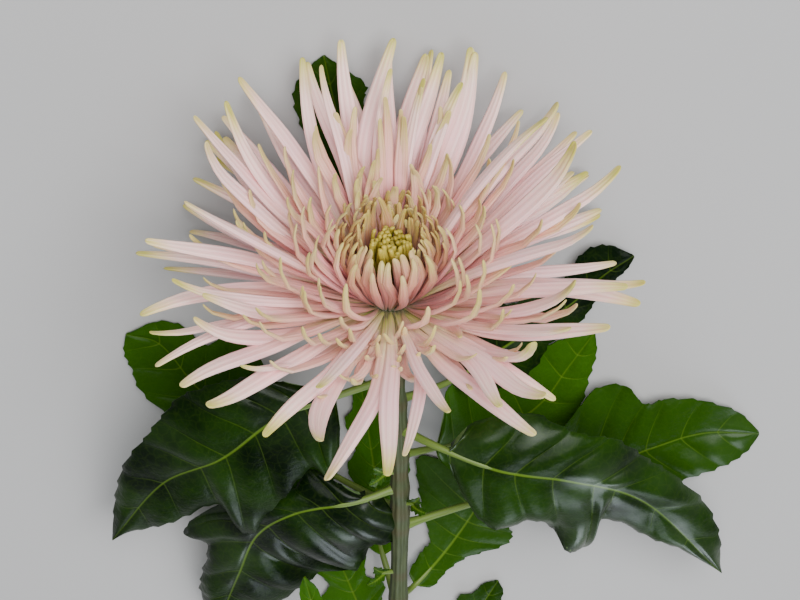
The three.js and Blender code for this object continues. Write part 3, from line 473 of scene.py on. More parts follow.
class Finish:
    """A procedural material with one Principled shader."""

    def __init__(self, name, constants=None):
        self.material = bpy.data.materials.new(name)
        self.material.use_nodes = True
        self.nodes = self.material.node_tree.nodes
        self.links = self.material.node_tree.links
        self.shader = self.nodes["Principled BSDF"]
        for socket, value in (constants or {}).items():
            self.shader.inputs[socket].default_value = value

    def node(self, kind, inputs=None, **settings):
        """Adds a node: its settings first, a ramp's `stops` among them, then its sockets' values or wires.

        kind is the node's type without the words ShaderNode at its start.
        """
        node = self.nodes.new("ShaderNode" + kind)
        for key, value in settings.items():
            if key == "stops":
                ramp = node.color_ramp
                while len(ramp.elements) < len(value):
                    ramp.elements.new(1.0)
                for element, (place, colour) in zip(ramp.elements, value):
                    element.position = place
                    element.color = colour
            else:
                setattr(node, key, value)
        for key, value in (inputs or {}).items():
            self.feed(node.inputs[key], value)
        return node

    def feed(self, socket, value):
        """Gives a socket its value, or links a wire to it."""
        if isinstance(value, Wire):
            self.links.new(value.socket, socket)
        else:
            socket.default_value = value

    def wire(self, kind, output=0, inputs=None, **settings):
        """Adds a node and gives the wire from one of its outputs."""
        return Wire(self, self.node(kind, inputs, **settings).outputs[output])

    def maths(self, operation, a, b=0.0):
        return self.wire("Math", 0, {0: a, 1: b}, operation=operation)

    def value(self, attribute):
        """A value stored at the mesh's points."""
        return self.wire("Attribute", "Fac", attribute_type="GEOMETRY", attribute_name=attribute)

    def uv(self):
        """The share round a tube and the share along it."""
        split = self.node("SeparateXYZ", {0: self.wire("UVMap", uv_map="UVMap")})
        return Wire(self, split.outputs[0]), Wire(self, split.outputs[1])

    def place(self):
        """Object coordinates, in metres."""
        return self.wire("TexCoord", "Object")

    def vector(self, x, y, z):
        return self.wire("CombineXYZ", 0, {0: x, 1: y, 2: z})

    def moved(self, where, scale, reach):
        """Coordinates moved aside by `reach` times the colour, 0 to 1, of a noise of the given scale."""
        swirl = self.wire("TexNoise", "Color", {"Vector": where, "Scale": scale})
        push = self.wire("VectorMath", 0, {0: swirl, "Scale": reach}, operation="SCALE")
        return self.wire("VectorMath", 0, {0: where, 1: push}, operation="ADD")

    def noise(self, where, scale, detail=2.0, rough=0.5):
        """Soft noise from 0 to 1 with features about 1 / scale wide."""
        inputs = {"Vector": where, "Scale": scale, "Detail": detail, "Roughness": rough}
        return self.wire("TexNoise", "Fac", inputs)

    def cells(self, where, scale):
        """Distance to the nearest border between cells about 1 / scale wide."""
        inputs = {"Vector": where, "Scale": scale}
        return self.wire("TexVoronoi", "Distance", inputs, feature="DISTANCE_TO_EDGE")

    def rise(self, low, high, value):
        """0 up to low, 1 from high on, and a smooth step between them, whichever of the two is larger."""
        inputs = {"Value": value, "From Min": low, "From Max": high}
        return self.wire("MapRange", "Result", inputs, interpolation_type="SMOOTHSTEP")

    def ramp(self, value, stops):
        return self.wire("ValToRGB", "Color", {"Fac": value}, stops=stops)

    def blend(self, share, a, b):
        """Colour a where share is 0 and colour b where it is 1."""
        return self.wire("Mix", 2, {0: share, 6: a, 7: b}, data_type="RGBA", clamp_factor=True)

    def bump(self, height, strength, distance):
        """A normal tilted by a height given in units of `distance` metres."""
        return self.wire("Bump", 0, {"Height": height, "Strength": strength, "Distance": distance})

    def done(self, colour, roughness, normal=None, coat=None):
        """Feeds the shader and gives the material."""
        feeds = {"Base Color": colour, "Roughness": roughness, "Normal": normal, "Coat Weight": coat}
        for socket, value in feeds.items():
            if value is not None:
                self.feed(self.shader.inputs[socket], value)
        return self.material


def floret_finish(name, stops, streak, where=None, other_stops=None):
    """A floret's skin: colours from its root to its tip, with faint streaks and ridges that run its length.

    The streaks are noise stretched along the floret: the darker pink ones are its own colour, and the pale
    ones are painted highlights. The ridges are a cosine of the way round, and their low sides are painted a
    deeper pink, as shade in the grooves. `tone`, the floret's own draw, shifts the colours along it. The
    mesh's value called `where`, if one is named, takes the colours over to other_stops.
    """
    finish = Finish(name, {
        "Subsurface Weight": 0.12, "Subsurface Scale": 0.002, "Subsurface Radius": (1.0, 0.45, 0.35),
        "Sheen Weight": 0.15, "Sheen Roughness": 0.5,
    })
    around, along = finish.uv()
    tone = finish.value("tone")
    fine = finish.noise(finish.vector(around * 26.0, along * 1.6, tone * 40.0), 1.0, 3.0)
    broad = finish.noise(finish.vector(around * 5.0, along * 3.0, tone * 25.0 + 7.0), 1.0, 2.0)
    shifted = along + (tone - 0.5) * 0.1 + (broad - 0.5) * 0.12
    colour = finish.ramp(shifted, stops)
    if where:
        colour = finish.blend(finish.value(where), colour, finish.ramp(shifted, other_stops))
    colour = finish.blend(finish.rise(0.5, 0.78, fine) * streak, colour, tint(205, 140, 145))
    # pale streaks: painted highlights along the floret
    colour = finish.blend(finish.rise(0.5, 0.22, fine) * (streak * 0.6), colour, tint(248, 224, 220))
    ridge = finish.maths("COSINE", around * (2 * math.pi * FLORET_RIDGES))
    # the low sides of the ridges: painted shade in the grooves, a deeper pink
    colour = finish.blend(finish.rise(0.1, -0.9, ridge) * 0.2, colour, tint(214, 134, 142))
    ridges = ridge * 0.5 + fine * 0.9
    fade = finish.rise(0.02, 0.2, along) * finish.rise(1.0, 0.9, along)
    return finish.done(colour, 0.52, finish.bump(ridges * fade, 0.4, 0.0003))


def bud_finish():
    """The small centre buds: dark olive from the root up, and yellow-green at the tip, with a mottle."""
    finish = Finish("bud", {"Subsurface Weight": 0.1, "Subsurface Scale": 0.0015})
    _, along = finish.uv()
    tone = finish.value("tone")
    mottle = finish.noise(finish.place(), 900.0, 2.0)
    colour = finish.ramp(along + (tone - 0.5) * 0.25, ramp_stops(
        (0.0, 34, 30, 5), (0.6, 74, 62, 10), (0.86, 128, 112, 24), (1.0, 186, 168, 64),
    ))
    colour = finish.blend(finish.rise(0.45, 0.8, mottle) * 0.4, colour, tint(84, 86, 12))
    return finish.done(colour, 0.5, finish.bump(mottle, 0.4, 0.0002))


def core_finish():
    """The receptacle between the florets' roots: dark olive with a mottle."""
    finish = Finish("receptacle")
    mottle = finish.noise(finish.place(), 500.0, 3.0)
    colour = finish.blend(mottle, tint(22, 30, 4), tint(58, 64, 14))
    return finish.done(colour, 0.7, finish.bump(mottle, 0.5, 0.0005))


def leaf_finish(name, dark, bright, vein, under=False):
    """A leaf's face, from the dark to the bright green by the mesh's value `bright`, with lighter veins.

    `rib` and `vein` hold the distances in millimetres to the midrib and to the nearest side vein, so each
    line is one minus a smooth step of its distance. A net of cells about 3 mm wide gives the small veins.
    The skin swells a little between them and is crinkled by a noise. Under a leaf the same relief is
    turned about. Its top has patches of gloss, a coat as strong as `shine` says. Its bright green is partly
    the leaf's own paler green and partly painted light shining through a back-lit leaf.
    """
    finish = Finish(name, {"Specular IOR Level": 0.04, "Coat Roughness": 0.26})
    where = finish.place()
    bent = finish.moved(where, 160.0, 0.004)
    net = finish.cells(bent, 330.0)
    small = finish.cells(bent, 900.0)
    cloud = finish.noise(where, 45.0, 3.0)
    speck = finish.noise(where, 700.0, 2.0)
    crinkle = finish.noise(where, 130.0, 4.0, 0.6)
    share = finish.value("share")
    green_and_backlight = finish.value("bright")
    is_rib = finish.rise(0.8, 0.25, finish.value("rib") + share * 0.4)
    is_side = finish.rise(0.5, 0.1, finish.value("vein") + finish.value("outward") * 0.35)
    is_net = finish.rise(0.1, 0.02, net)
    # from the dark to the bright green by the mesh's value bright: partly the leaf's own colour, partly
    # painted light through a back-lit leaf
    colour = finish.blend(green_and_backlight + (cloud - 0.5) * 0.8, dark, bright)
    colour = finish.blend(finish.rise(0.4, 0.75, cloud) * 0.35, colour, bright if under else tint(20, 44, 6))
    colour = finish.blend(is_net * 0.03, colour, vein)
    colour = finish.blend(is_side * (green_and_backlight * 0.3 + 0.15), colour, vein)
    colour = finish.blend(is_rib * (0.85 - share * 0.5), colour, vein)
    colour = finish.blend(finish.rise(0.55, 0.8, speck) * 0.04, colour, vein)
    swell = finish.rise(0.0, 0.45, net) * 0.25 + finish.rise(0.0, 0.4, small) * 0.1 + speck * 0.1
    lined = swell - is_side * 0.7 - is_rib * 0.9 + crinkle * 6.5
    normal = finish.bump(-lined if under else lined, 0.3, 0.0005)
    if under:
        return finish.done(colour, 0.7, normal)
    waxy = finish.noise(where, 34.0, 2.0)
    shine = finish.value("shine") * (finish.rise(0.42, 0.64, waxy) * 0.42 + 0.04)
    return finish.done(colour, 0.34 + cloud * 0.1, normal, shine)


def stalk_finish():
    """Leaf stalks and the midrib's foot: pale green, streaked lengthwise."""
    finish = Finish("stalk")
    around, along = finish.uv()
    streak = finish.noise(finish.vector(around * 9.0, along * 2.0, 0.0), 1.0, 3.0)
    colour = finish.blend(streak, tint(58, 84, 18), tint(112, 134, 52))
    return finish.done(colour, 0.5, finish.bump(streak, 0.4, 0.0004))


def stem_finish():
    """The stem: dark grey-green with lengthwise ribs, brown at each leaf or shoot, and pale in the cut."""
    finish = Finish("stem", {"Specular IOR Level": 0.3})
    around, along = finish.uv()
    where = finish.place()
    streak = finish.noise(finish.vector(around * 16.0, along * 30.0, 0.0), 1.0, 4.0)
    blotch = finish.noise(where, 140.0, 3.0)
    fibre = finish.noise(where, 1500.0, 2.0)
    colour = finish.blend(streak, tint(32, 42, 20), tint(80, 90, 58))
    colour = finish.blend(finish.rise(0.45, 0.75, blotch) * 0.4, colour, tint(56, 68, 26))
    brown = finish.rise(0.3, 0.9, finish.value("knot") + (blotch - 0.5) * 0.9) * 0.5
    colour = finish.blend(brown, colour, tint(72, 60, 40))
    cut = finish.value("cut")
    middle = finish.rise(0.0, 0.8, cut * 1.6 - 0.8 + fibre * 0.3)
    pith = finish.blend(middle, tint(150, 152, 96), tint(224, 222, 196))
    colour = finish.blend(finish.rise(0.02, 0.05, cut), colour, pith)
    ribs = finish.maths("COSINE", around * (2 * math.pi * STEM_RIBS)) * 0.4 + streak * 0.8
    return finish.done(colour, 0.58, finish.bump(ribs, 0.5, 0.0005))


def bract_finish():
    """The cup of bracts: mid green, with a pale papery margin towards each bract's tip."""
    finish = Finish("bract")
    _, along = finish.uv()
    mottle = finish.noise(finish.place(), 600.0, 3.0)
    colour = finish.blend(mottle, tint(62, 92, 34), tint(104, 134, 60))
    colour = finish.blend(finish.rise(0.78, 1.0, along) * 0.7, colour, tint(168, 160, 110))
    return finish.done(colour, 0.6, finish.bump(mottle, 0.5, 0.0003))


# ---------------------------------------------------------------- florets


def outer_rows():
    """The long outer florets with a small hook drawn for each tip."""
    draw = Draws(11)
    return [Floret(azimuth, rise, reach, bow, sway, draw() * 6 - 1.5, width)
            for azimuth, rise, reach, bow, sway, width in OUTER_FLORETS]


def under_rows():
    """Long florets on the underside, spread like a fan over 138 degrees, at three rises by turns."""
    draw = Draws(23)
    rows = []
    for number in range(UNDER_COUNT):
        azimuth = 22 + 138 * number / (UNDER_COUNT - 1) + (draw() - 0.5) * 5
        rise = -8 + (number * 7) % 3 * 9 + (draw() - 0.5) * 5
        reach, bow, sway = 72 + 6 * draw(), 2 * draw(), (draw() - 0.5) * 6
        rows.append(Floret(azimuth, rise, reach, bow, sway, 2 * draw(), 4.4 + 1.4 * draw()))
    return rows


def middle_rows(count=60, seed=37, turn=41.0):
    """Middle florets, turned by the golden angle, shorter and steeper towards the centre.

    On the underside they stand up towards `standing` degrees and bow out. On the upper side, all but the
    steep ones lie flatter, and the low ones are shorter too.
    """
    standing, steep, low = 66, 58, 30
    draw = Draws(seed)
    rows = []
    for number in range(count):
        inward = number / (count - 1)
        azimuth = (number * GOLDEN_TURN + turn) % 360
        rise = 10 + 46 * inward**0.9 + (draw() - 0.5) * 8
        reach = 64 - 30 * inward + (draw() - 0.5) * 12
        upper, lower = bell(azimuth, UPPER_SIDE, 38), bell(azimuth, UNDERSIDE, 75)
        rise += (standing - rise) * 0.75 * lower
        reach -= 8 * lower * min(1, 2 * inward)
        if rise < steep:
            rise *= 1 - 0.8 * upper
        if rise < low:
            reach *= 1 - 0.35 * upper
        bow, sway = -1.5 - 2 * draw() + 5 * lower, (draw() - 0.5) * 7
        width = (2.8 + 1.3 * draw()) * (1 - 0.2 * inward)
        rows.append(Floret(azimuth, rise, reach, bow, sway, 3 + 4 * draw(), width))
    return rows


def inner_rows(count=40, seed=53, turn=90.0, steeper=0.0):
    """Inner florets, short and curved in over the centre. Steeper ones fill the gap next to the centre.

    They are longer and steeper on the underside, and up to a third wider on the upper side.
    """
    draw = Draws(seed)
    rows = []
    for number in range(count):
        inward = number / (count - 1)
        azimuth = (number * GOLDEN_TURN + turn) % 360
        upper, lower = bell(azimuth, UPPER_SIDE, 50), bell(azimuth, UNDERSIDE, 75)
        rise = 54 + steeper + 14 * inward + 5 * lower + (draw() - 0.5) * 9
        reach = 30 - 4 * inward + 5 * lower + (draw() - 0.5) * 5
        sway = (draw() - 0.5) * 4
        hook = 2.5 + 2.5 * draw()
        width = (2.3 + 0.6 * draw()) * (1 + 0.35 * upper)
        rows.append(Floret(azimuth, rise, reach, -1.5 + inward, sway, hook, width))
    return rows


def beside_and_behind(rows):
    """Rows but those on the upper side of the head, where the first ring of inner florets stands alone."""
    return [row for row in rows if abs(row.azimuth - UPPER_SIDE) >= BARE_SPREAD]


def tucked(rows, numbers):
    """The same rows, without the hook at the tips that a wide floret lies over."""
    return [row._replace(hook=0.0) if number in numbers else row for number, row in enumerate(rows)]


def centre_rows(count=28, seed=71, turn=10.0):
    """Little upright buds packed by the golden angle."""
    draw = Draws(seed)
    rows = []
    for number in range(count):
        outward = math.sqrt((number + 0.5) / count)
        azimuth = (number * GOLDEN_TURN + turn) % 360
        reach = 24 + outward + (draw() - 0.5) * 3
        rows.append(Floret(azimuth, 90 - 15 * outward, reach, -0.6, 0, 0.8, 1.7))
    return rows


def keep_clear(points, width, inside):
    """Points moved straight from or to the bloom's axis, to their own side of the cone round the centre."""
    offset = points - BLOOM_BASE
    height = dot(offset, AXIS)
    out = offset - height * AXIS
    radius = np.linalg.norm(out, axis=-1, keepdims=True)
    cone = KEEP_RADIUS + KEEP_SPREAD * (height - RECEPTACLE_TOP)
    limit = cone - FIT_GAP - width / 2 if inside else cone + width / 2
    wrong = (radius > limit) if inside else (radius < limit)
    wrong &= (height >= RECEPTACLE_TOP) & (radius > 1e-6)
    return np.where(wrong, points + unit(out) * (limit - radius), points)


def floret_lines(rows, shares, inside, thick):
    """Middle lines of florets, (florets, shares, 3), and their sideways directions.

    root + share * chord, bowed by bow * 4s(1-s) up and sway * 4s(1-s) sideways, with the hook times the
    square of the way from HOOK_START to the tip. The root is on the receptacle's shoulder, or for a bud
    on the disc. A floret that points below its floor keeps its length along it.
    """
    azimuth, rise, reach, bow, sway, hook, width = np.array(rows, float).T
    azimuth, rise = np.radians(azimuth), np.radians(rise)
    floor = (RAY_FLOOR + width * thick / 2)[:, None]
    flat = np.cos(np.maximum(rise, 0))
    radius = DISC_RADIUS * BUD_SPREAD * np.cos(rise) if inside else ROOT_RADIUS + ROOT_SPREAD * flat
    height = RECEPTACLE_TOP + FIT_GAP + DISC_HEIGHT if inside else 1 + 1.6 * (1 - flat * flat)
    root = bloom_point(radius * np.cos(azimuth), radius * np.sin(azimuth), height)
    level = reach * np.cos(rise)
    tip = bloom_point(level * np.cos(azimuth), level * np.sin(azimuth), reach * np.sin(rise))
    length = np.linalg.norm(tip - root, axis=-1, keepdims=True)
    drop = floor - root[:, 2:]
    way = unit((tip - root) * [1, 1, 0])
    laid = root + way * np.sqrt(np.maximum(length**2 - drop**2, 1))
    laid[:, 2:] = floor
    tip = np.where(tip[:, 2:] < floor, laid, tip)
    chord = tip - root
    along = unit(chord)
    side = unit(np.cross(AXIS, along))
    up = np.cross(along, side)
    share = shares[None, :, None]
    bow, sway, hook, width = (values[:, None, None] for values in (bow, sway, hook, width))
    arch = np.maximum(4 * share * (1 - share), 0)
    curl = np.clip((share - HOOK_START) / (1 - HOOK_START), 0, 1) ** 2
    line = root[:, None] + chord[:, None] * share
    line = line + up[:, None] * (bow * arch + hook * curl) + side[:, None] * sway * arch
    line[..., 2] = np.maximum(line[..., 2], floor)
    return keep_clear(line, width, inside), side


def floret_swell(share):
    """0.26 at the root, rising as a sine to 1 at WIDEST, then falling by 0.6 of the 1.6th power."""
    past = np.clip((share - WIDEST) / (1 - WIDEST), 0, 1)
    rising = 0.26 + 0.74 * np.sin(np.clip(share, 0, 1) / WIDEST * np.pi / 2)
    return np.where(share < WIDEST, rising, 1 - 0.6 * past**1.6)


def florets(rows, seed, rings, around, thick, openness, finish, inside=False):
    """Florets as closed, flattened tubes whose upper side opens into a spoon towards the tip.

    `rings` rings of `around` points follow each floret's line, which wobbles a little and turns on itself.
    Half-width is the swell, rounded off like a circle at the very tip. A bud's swell rises from half to
    one instead. Across the section x = cos(turn), and y = sin(turn) times the depth, thinned where the
    floret is open, plus a trough of three quarters of the opening times (x^2 - 0.55), plus shallow
    grooves of cos(3 pi x) on top. A cleft draws the middle of some tips back.
    """
    draw = Draws(seed)
    drawn = np.array([[draw() for _ in range(6)] for _ in rows])
    tone, cupped, cleft, twist, wave, phase = (drawn[:, k, None, None] for k in range(6))
    azimuth, rise, length, _, _, _, width = np.array(rows, float).T[:, :, None, None]
    shares = np.concatenate([[-0.03], np.linspace(0, 0.93, rings - 6), [0.955, 0.975, 0.988, 0.996, 1.0]])
    share = shares[None, :, None]
    line, side = floret_lines(rows, shares, inside, thick)
    along, across, up = frames_along(line, side)
    line = line + across * np.sin(share * 8 + phase * PHASE_TURN) * wave * 1.1 * smooth(0.1, 0.6, share)
    turn = ((twist - 0.5) * 0.9 * share + (phase - 0.5) * 0.5) * smooth(0.05, 0.5, share)
    across, up = across * np.cos(turn) + up * np.sin(turn), up * np.cos(turn) - across * np.sin(turn)
    to_tip = (1 - share) * length / (width * 0.3)
    rounded = np.sqrt(np.maximum(1 - (1 - np.clip(to_tip, 0, 1)) ** 2, 0.02))
    swell = 0.5 + 0.5 * smooth(0.3, 0.9, share) if inside else floret_swell(share)
    half = width / 2 * swell * rounded
    opened = openness * (0.35 + 0.65 * cupped) * smooth(0.35, 0.8, share)
    x, y = np.cos(turns(around)), np.sin(turns(around))
    body = np.where(y > 0, 0.75, 0.95) * half * thick * (1 - 0.6 * opened) * y
    trough = half * (0.75 * opened * (x * x - 0.55))
    groove = half * 0.045 * np.cos(3 * np.pi * x) * np.maximum(y, 0) * smooth(0.1, 0.4, share)
    points = rings_round(line, across, up, x * half, body + trough + groove)
    back = np.where(cleft > 0.72, 3.2, 0.8) * width / 5 * smooth(0.93, 1.0, share) * (1 - np.abs(x)) * opened
    points = points - back[..., None] * along[:, :, None]
    # `front` is the nearness to the upper side: it takes the inner florets from their darker ramp, partly
    # painted shade, to the paler one.
    front = bell(azimuth, UPPER_SIDE, 75)
    return tube_shell(points, finish, shares, tone=tone, front=front, low_front=front * smooth(45, 20, rise))


def turned_shell(profile, sides, finish):
    """A body turned round the bloom's axis, with radius and height from the profile."""
    radius, height = np.array(profile, float).T[:, :, None]
    angle = turns(sides)
    points = bloom_point(radius * np.cos(angle), radius * np.sin(angle), height)
    return tube_shell(points[None], finish, tone=0.5)


# ---------------------------------------------------------------- leaves


def eased(values, where):
    """A smooth line through values at whole numbers: cubic pieces that slope by half the outer difference."""
    values = np.array(values, float)
    padded = np.concatenate([[2 * values[0] - values[1]], values, [2 * values[-1] - values[-2]]])
    first = np.clip(np.floor(where).astype(int), 0, len(values) - 2)
    t = where - first
    if values.ndim > 1:
        t = t[:, None]
    a, b, c, d = (padded[first + k] for k in range(4))
    return b + (c - a) / 2 * t + (a - 2.5 * b + 2 * c - d / 2) * t**2 + (1.5 * (b - c) + (d - a) / 2) * t**3


class Blade:
    """A leaf's midrib and the frame beside it."""

    def __init__(self, leaf):
        self.leaf = leaf
        self.curve = Curve(leaf["route"])
        self.length = (1 - leaf["stalk"]) * self.curve.length

    def rib_at(self, share):
        """The midrib's points at shares of the blade."""
        stalk = self.leaf["stalk"]
        return self.curve.at(stalk + (1 - stalk) * np.clip(share, 0, 1))

    def point(self, share, out):
        """The point at a share of the blade and `out` mm right of the midrib, and its upward direction.

        lift * (|out| / 20)^1.5 raises it, and wave * sin(7 pi share + shift) * (out / 20)^2 ripples it.
        """
        inside = np.clip(share, 0, 1)
        along = unit(self.rib_at(inside + TURN_STRETCH) - self.rib_at(inside - TURN_STRETCH))
        right = unit(np.cross(along, UPWARD))
        past = (share - inside) * self.length
        point = self.rib_at(inside) + along * past[..., None] + right * out[..., None]
        far = np.abs(out) / HALF_BLADE
        ripple = np.sin(WAVES * np.pi * share + np.where(out < 0, 1.0, 2.4))
        point[..., 2] += self.leaf["lift"] * far**1.5 + self.leaf["wave"] * ripple * far**2
        return point, np.cross(right, along)


def over_and_under(values):
    """Values on a blade's top, and the same ones backwards for its underside: one ring per row."""
    return np.concatenate([values, values[:, ::-1]], 1)[None]


def blade_shell(leaf, seed, steps=10, spread=11, thick=0.66, teeth=0.9, quilt=1.0, curl=0.0, shine=0.7):
    """A leaf blade as a closed thin shell over (row, place across).

    Rows run from the midrib to the edge as side veins do: at a share p of the way out, the share along
    the blade is m + (a - m) * p^1.25 and the distance out is w * p, with m, a and w eased between the
    listed ones. The edge carries small pointed teeth and bends down by curl * p^4. The skin swells between
    the veins by quilt * |sin| of the row number, and sinks in a groove over the midrib. Below, the midrib
    and the side veins stand out as keels. There are `steps` rows from one side vein to the next, and
    `spread` places to each side of the midrib.
    """
    draw = Draws(seed)
    blade = Blade(leaf)
    rows = len(leaf["rib"]) + 1
    row = np.linspace(0, rows, rows * steps + 1)
    rib = eased([0] + leaf["rib"] + [1], row)[:, None]
    left, right = (
        eased([[min(0, edge[0][0]), 1.5]] + edge + [[1, 0.5]], row)[:, None, :]
        for edge in (leaf["left"], leaf["right"])
    )
    place = np.linspace(-1, 1, 2 * spread + 1)
    place = np.sign(place) * np.abs(place) ** 0.9
    part = np.abs(place)[None, :]
    edge = np.where(place[None, :, None] < 0, left, right)
    share_at_edge, width = edge[..., 0], edge[..., 1]
    saw = (row * 2.0 + 0.35) % 1.0
    tooth = teeth * (saw**1.6 - 0.35) * smooth(0.4, 1.5, row) * smooth(rows, rows - 0.6, row)
    width = width + tooth[:, None] * smooth(0.55, 1.0, part) * np.minimum(width / 8, 1)
    share = rib + (share_at_edge - rib) * part**1.25
    inside = np.clip(share, 0, 1)
    out = np.sign(place)[None, :] * width * part
    middle, up = blade.point(share, out)
    to_vein = np.abs(row - np.round(row))[:, None]
    bulge = np.sin(np.pi * np.minimum(to_vein * 2, 1) / 2) ** 0.8
    body = 4 * part * (1 - part) + 0.45 * part**2
    relief = quilt * bulge * body * np.minimum(width / 14, 1.2)
    relief = relief + quilt * 0.8 * np.sin(share * 13 + place[None, :] * 4 + draw(0, PHASE_TURN)) * part
    relief = relief - curl * part**4
    middle = middle + up * relief[..., None]
    half = thick / 2 * (1 - 0.5 * part**3) * np.ones_like(out)
    groove = 0.35 * bell(out, 0, 1.0)
    keel = 0.8 * bell(out, 0, 1.25 - 0.7 * inside) * (1 - 0.5 * inside)
    vein_keel = 0.25 * bell(to_vein, 0, 0.08) * (1 - part)
    top = middle + up * (half - groove)[..., None]
    under = middle - up * (half + keel + vein_keel)[..., None]
    under[..., 2] = np.maximum(under[..., 2], TABLE_GAP)
    top[..., 2] = np.maximum(top[..., 2], under[..., 2] + 0.25)
    per_row = np.maximum(np.abs(np.gradient(share, axis=0) * blade.length / row[1]), 1.5)
    count = len(place)
    turn = np.arange(2 * count)
    underside = (turn >= count) & (turn < 2 * count - 1)
    return tube_shell(
        np.concatenate([top, under[:, ::-1]], 1)[None],
        np.tile(np.where(underside, LEAF_BACK, LEAF_TOP), rows * steps),
        flat_ends=True,
        rib=over_and_under(np.abs(out)),
        vein=over_and_under(to_vein * per_row),
        share=over_and_under(inside),
        outward=over_and_under(part * np.ones_like(out)),
        bright=leaf["bright"],
        shine=shine,
    )


def stalk_shell(leaf, around=10, steps=16):
    """A leaf's stalk: a tapering tube under the midrib, flared where it leaves the stem, hollow on top."""
    curve = Curve(leaf["route"])
    end = leaf["stalk"] + 0.1
    start = 1.6 / curve.length
    share = np.linspace(0, 1, steps)
    line = curve.at(start + (end - start) * share)
    line[:, 2] -= 0.35
    side = unit(np.cross(line[-1] - line[0], UPWARD))
    radius = PETIOLE_RADIUS * (1.1 - 0.45 * share) * (1 + 0.5 * bell(share * 14, 0, 1))
    radius = (radius * (1 - 0.65 * smooth(0.9, 1.0, share)))[:, None]
    angle = turns(around)
    hollow = 1 - 0.3 * bell(angle, np.pi / 2, 0.5)
    rings = rod_rings(line, side, radius, angle, hollow)
    rings[..., 2] = np.maximum(rings[..., 2], TABLE_GAP)
    return tube_shell(rings, STALK)


# ---------------------------------------------------------------- making the pieces

OUTER_STOPS = ramp_stops(
    (0.0, 70, 88, 10), (0.05, 168, 172, 66), (0.2, 232, 213, 164), (0.38, 240, 194, 185),
    (0.62, 249, 202, 203), (0.85, 249, 213, 201), (0.94, 226, 209, 138), (1.0, 180, 182, 58),
)
# The middle florets' deep rose towards the root is partly their own colour and partly painted shade where
# they crowd together.
MIDDLE_STOPS = ramp_stops(
    (0.0, 120, 110, 36), (0.1, 170, 98, 88), (0.3, 206, 122, 125), (0.56, 231, 162, 159),
    (0.78, 226, 174, 146), (0.9, 212, 188, 124), (1.0, 196, 188, 92),
)
MIDDLE_LOW_STOPS = ramp_stops(
    (0.0, 96, 104, 20), (0.1, 184, 180, 92), (0.3, 230, 210, 160), (0.52, 236, 188, 172),
    (0.75, 236, 188, 172), (0.9, 220, 196, 132), (1.0, 200, 192, 94),
)
# The inner florets' dark rose-brown is partly their own colour and partly painted shade in the crowded crown.
# INNER_STOPS, away from the upper side, are darker than INNER_FRONT_STOPS and paint more of that shade.
INNER_STOPS = ramp_stops(
    (0.0, 92, 84, 18), (0.12, 122, 72, 36), (0.32, 156, 82, 66), (0.58, 180, 110, 84),
    (0.78, 184, 138, 78), (0.9, 180, 152, 58), (1.0, 180, 164, 56),
)
INNER_FRONT_STOPS = ramp_stops(
    (0.0, 92, 90, 16), (0.12, 136, 74, 54), (0.34, 170, 90, 84), (0.62, 196, 124, 110),
    (0.84, 206, 158, 122), (0.94, 202, 180, 116), (1.0, 196, 186, 98),
)

outer_skin = floret_finish("outer_floret", OUTER_STOPS, 0.5)
middle_skin = floret_finish("middle_floret", MIDDLE_STOPS, 0.5, "low_front", MIDDLE_LOW_STOPS)
inner_skin = floret_finish("inner_floret", INNER_STOPS, 0.4, "front", INNER_FRONT_STOPS)
core_skin = core_finish()

# The finishes' numbers in the ray florets' piece, and in the buds' piece.
OUTER, MIDDLE, INNER, CORE = range(4)
BUD, BUD_CORE = range(2)

# Sets of ray florets: rows, seed, rings, points in a ring, thickness to width, opening, and finish. The
# tucked rows are the ones whose tips come out under a wide floret.
RAY_SETS = [
    (outer_rows(), 101, 23, 16, 0.62, 0.35, OUTER),
    (under_rows(), 102, 18, 12, 0.6, 0.35, OUTER),
    (tucked(middle_rows(), (31,)), 103, 16, 10, 0.65, 0.35, MIDDLE),
    (tucked(middle_rows(54, 141, 108.0), (2, 4, 7, 25)), 104, 14, 8, 0.65, 0.3, MIDDLE),
    (middle_rows(36, 241, 65.0), 110, 14, 8, 0.65, 0.3, MIDDLE),
    (inner_rows(), 105, 13, 8, 0.7, 0.2, INNER),
    (beside_and_behind(inner_rows(34, 153, 158.0)), 106, 12, 8, 0.7, 0.2, INNER),
    (beside_and_behind(inner_rows(22, 211, 20.0, 8.0)), 109, 12, 8, 0.7, 0.2, INNER),
]
core = turned_shell(
    [[5.6, -RECEPTACLE_UNDER], [6.6, 0], [6.4, 1.2], [6, 2.4], [5.7, 3], [5.2, RECEPTACLE_TOP]], 32, CORE,
)
make_piece(
    "ray_florets_detail", [florets(*ray_set) for ray_set in RAY_SETS] + [core],
    [outer_skin, middle_skin, inner_skin, core_skin], "ray_florets",
)

BUD_SETS = [
    (centre_rows(), 107, 12, 7, 0.9, 0.1, BUD),
    (centre_rows(34, 171, 77.0), 108, 12, 7, 0.9, 0.1, BUD),
]
low = RECEPTACLE_TOP + FIT_GAP
disc = turned_shell([
    [DISC_RADIUS * 0.6, low], [DISC_RADIUS, low + 0.2],
    [DISC_RADIUS, low + 0.7], [DISC_RADIUS * 0.7, low + DISC_HEIGHT],
], 24, BUD_CORE)
make_piece(
    "centre_florets_detail", [florets(*bud_set, inside=True) for bud_set in BUD_SETS] + [disc],
    [bud_finish(), core_skin], "centre_florets",
)


def cup_radius(share):
    """The radius of the cup under the bloom at a share of its height."""
    return 3.2 + 4 * np.sin(share * np.pi / 2)


def cup_height(share):
    """Where a share of the cup's height is along the bloom's axis."""
    return -INVOLUCRE_DEPTH + (INVOLUCRE_DEPTH - RECEPTACLE_UNDER - FIT_GAP) * share


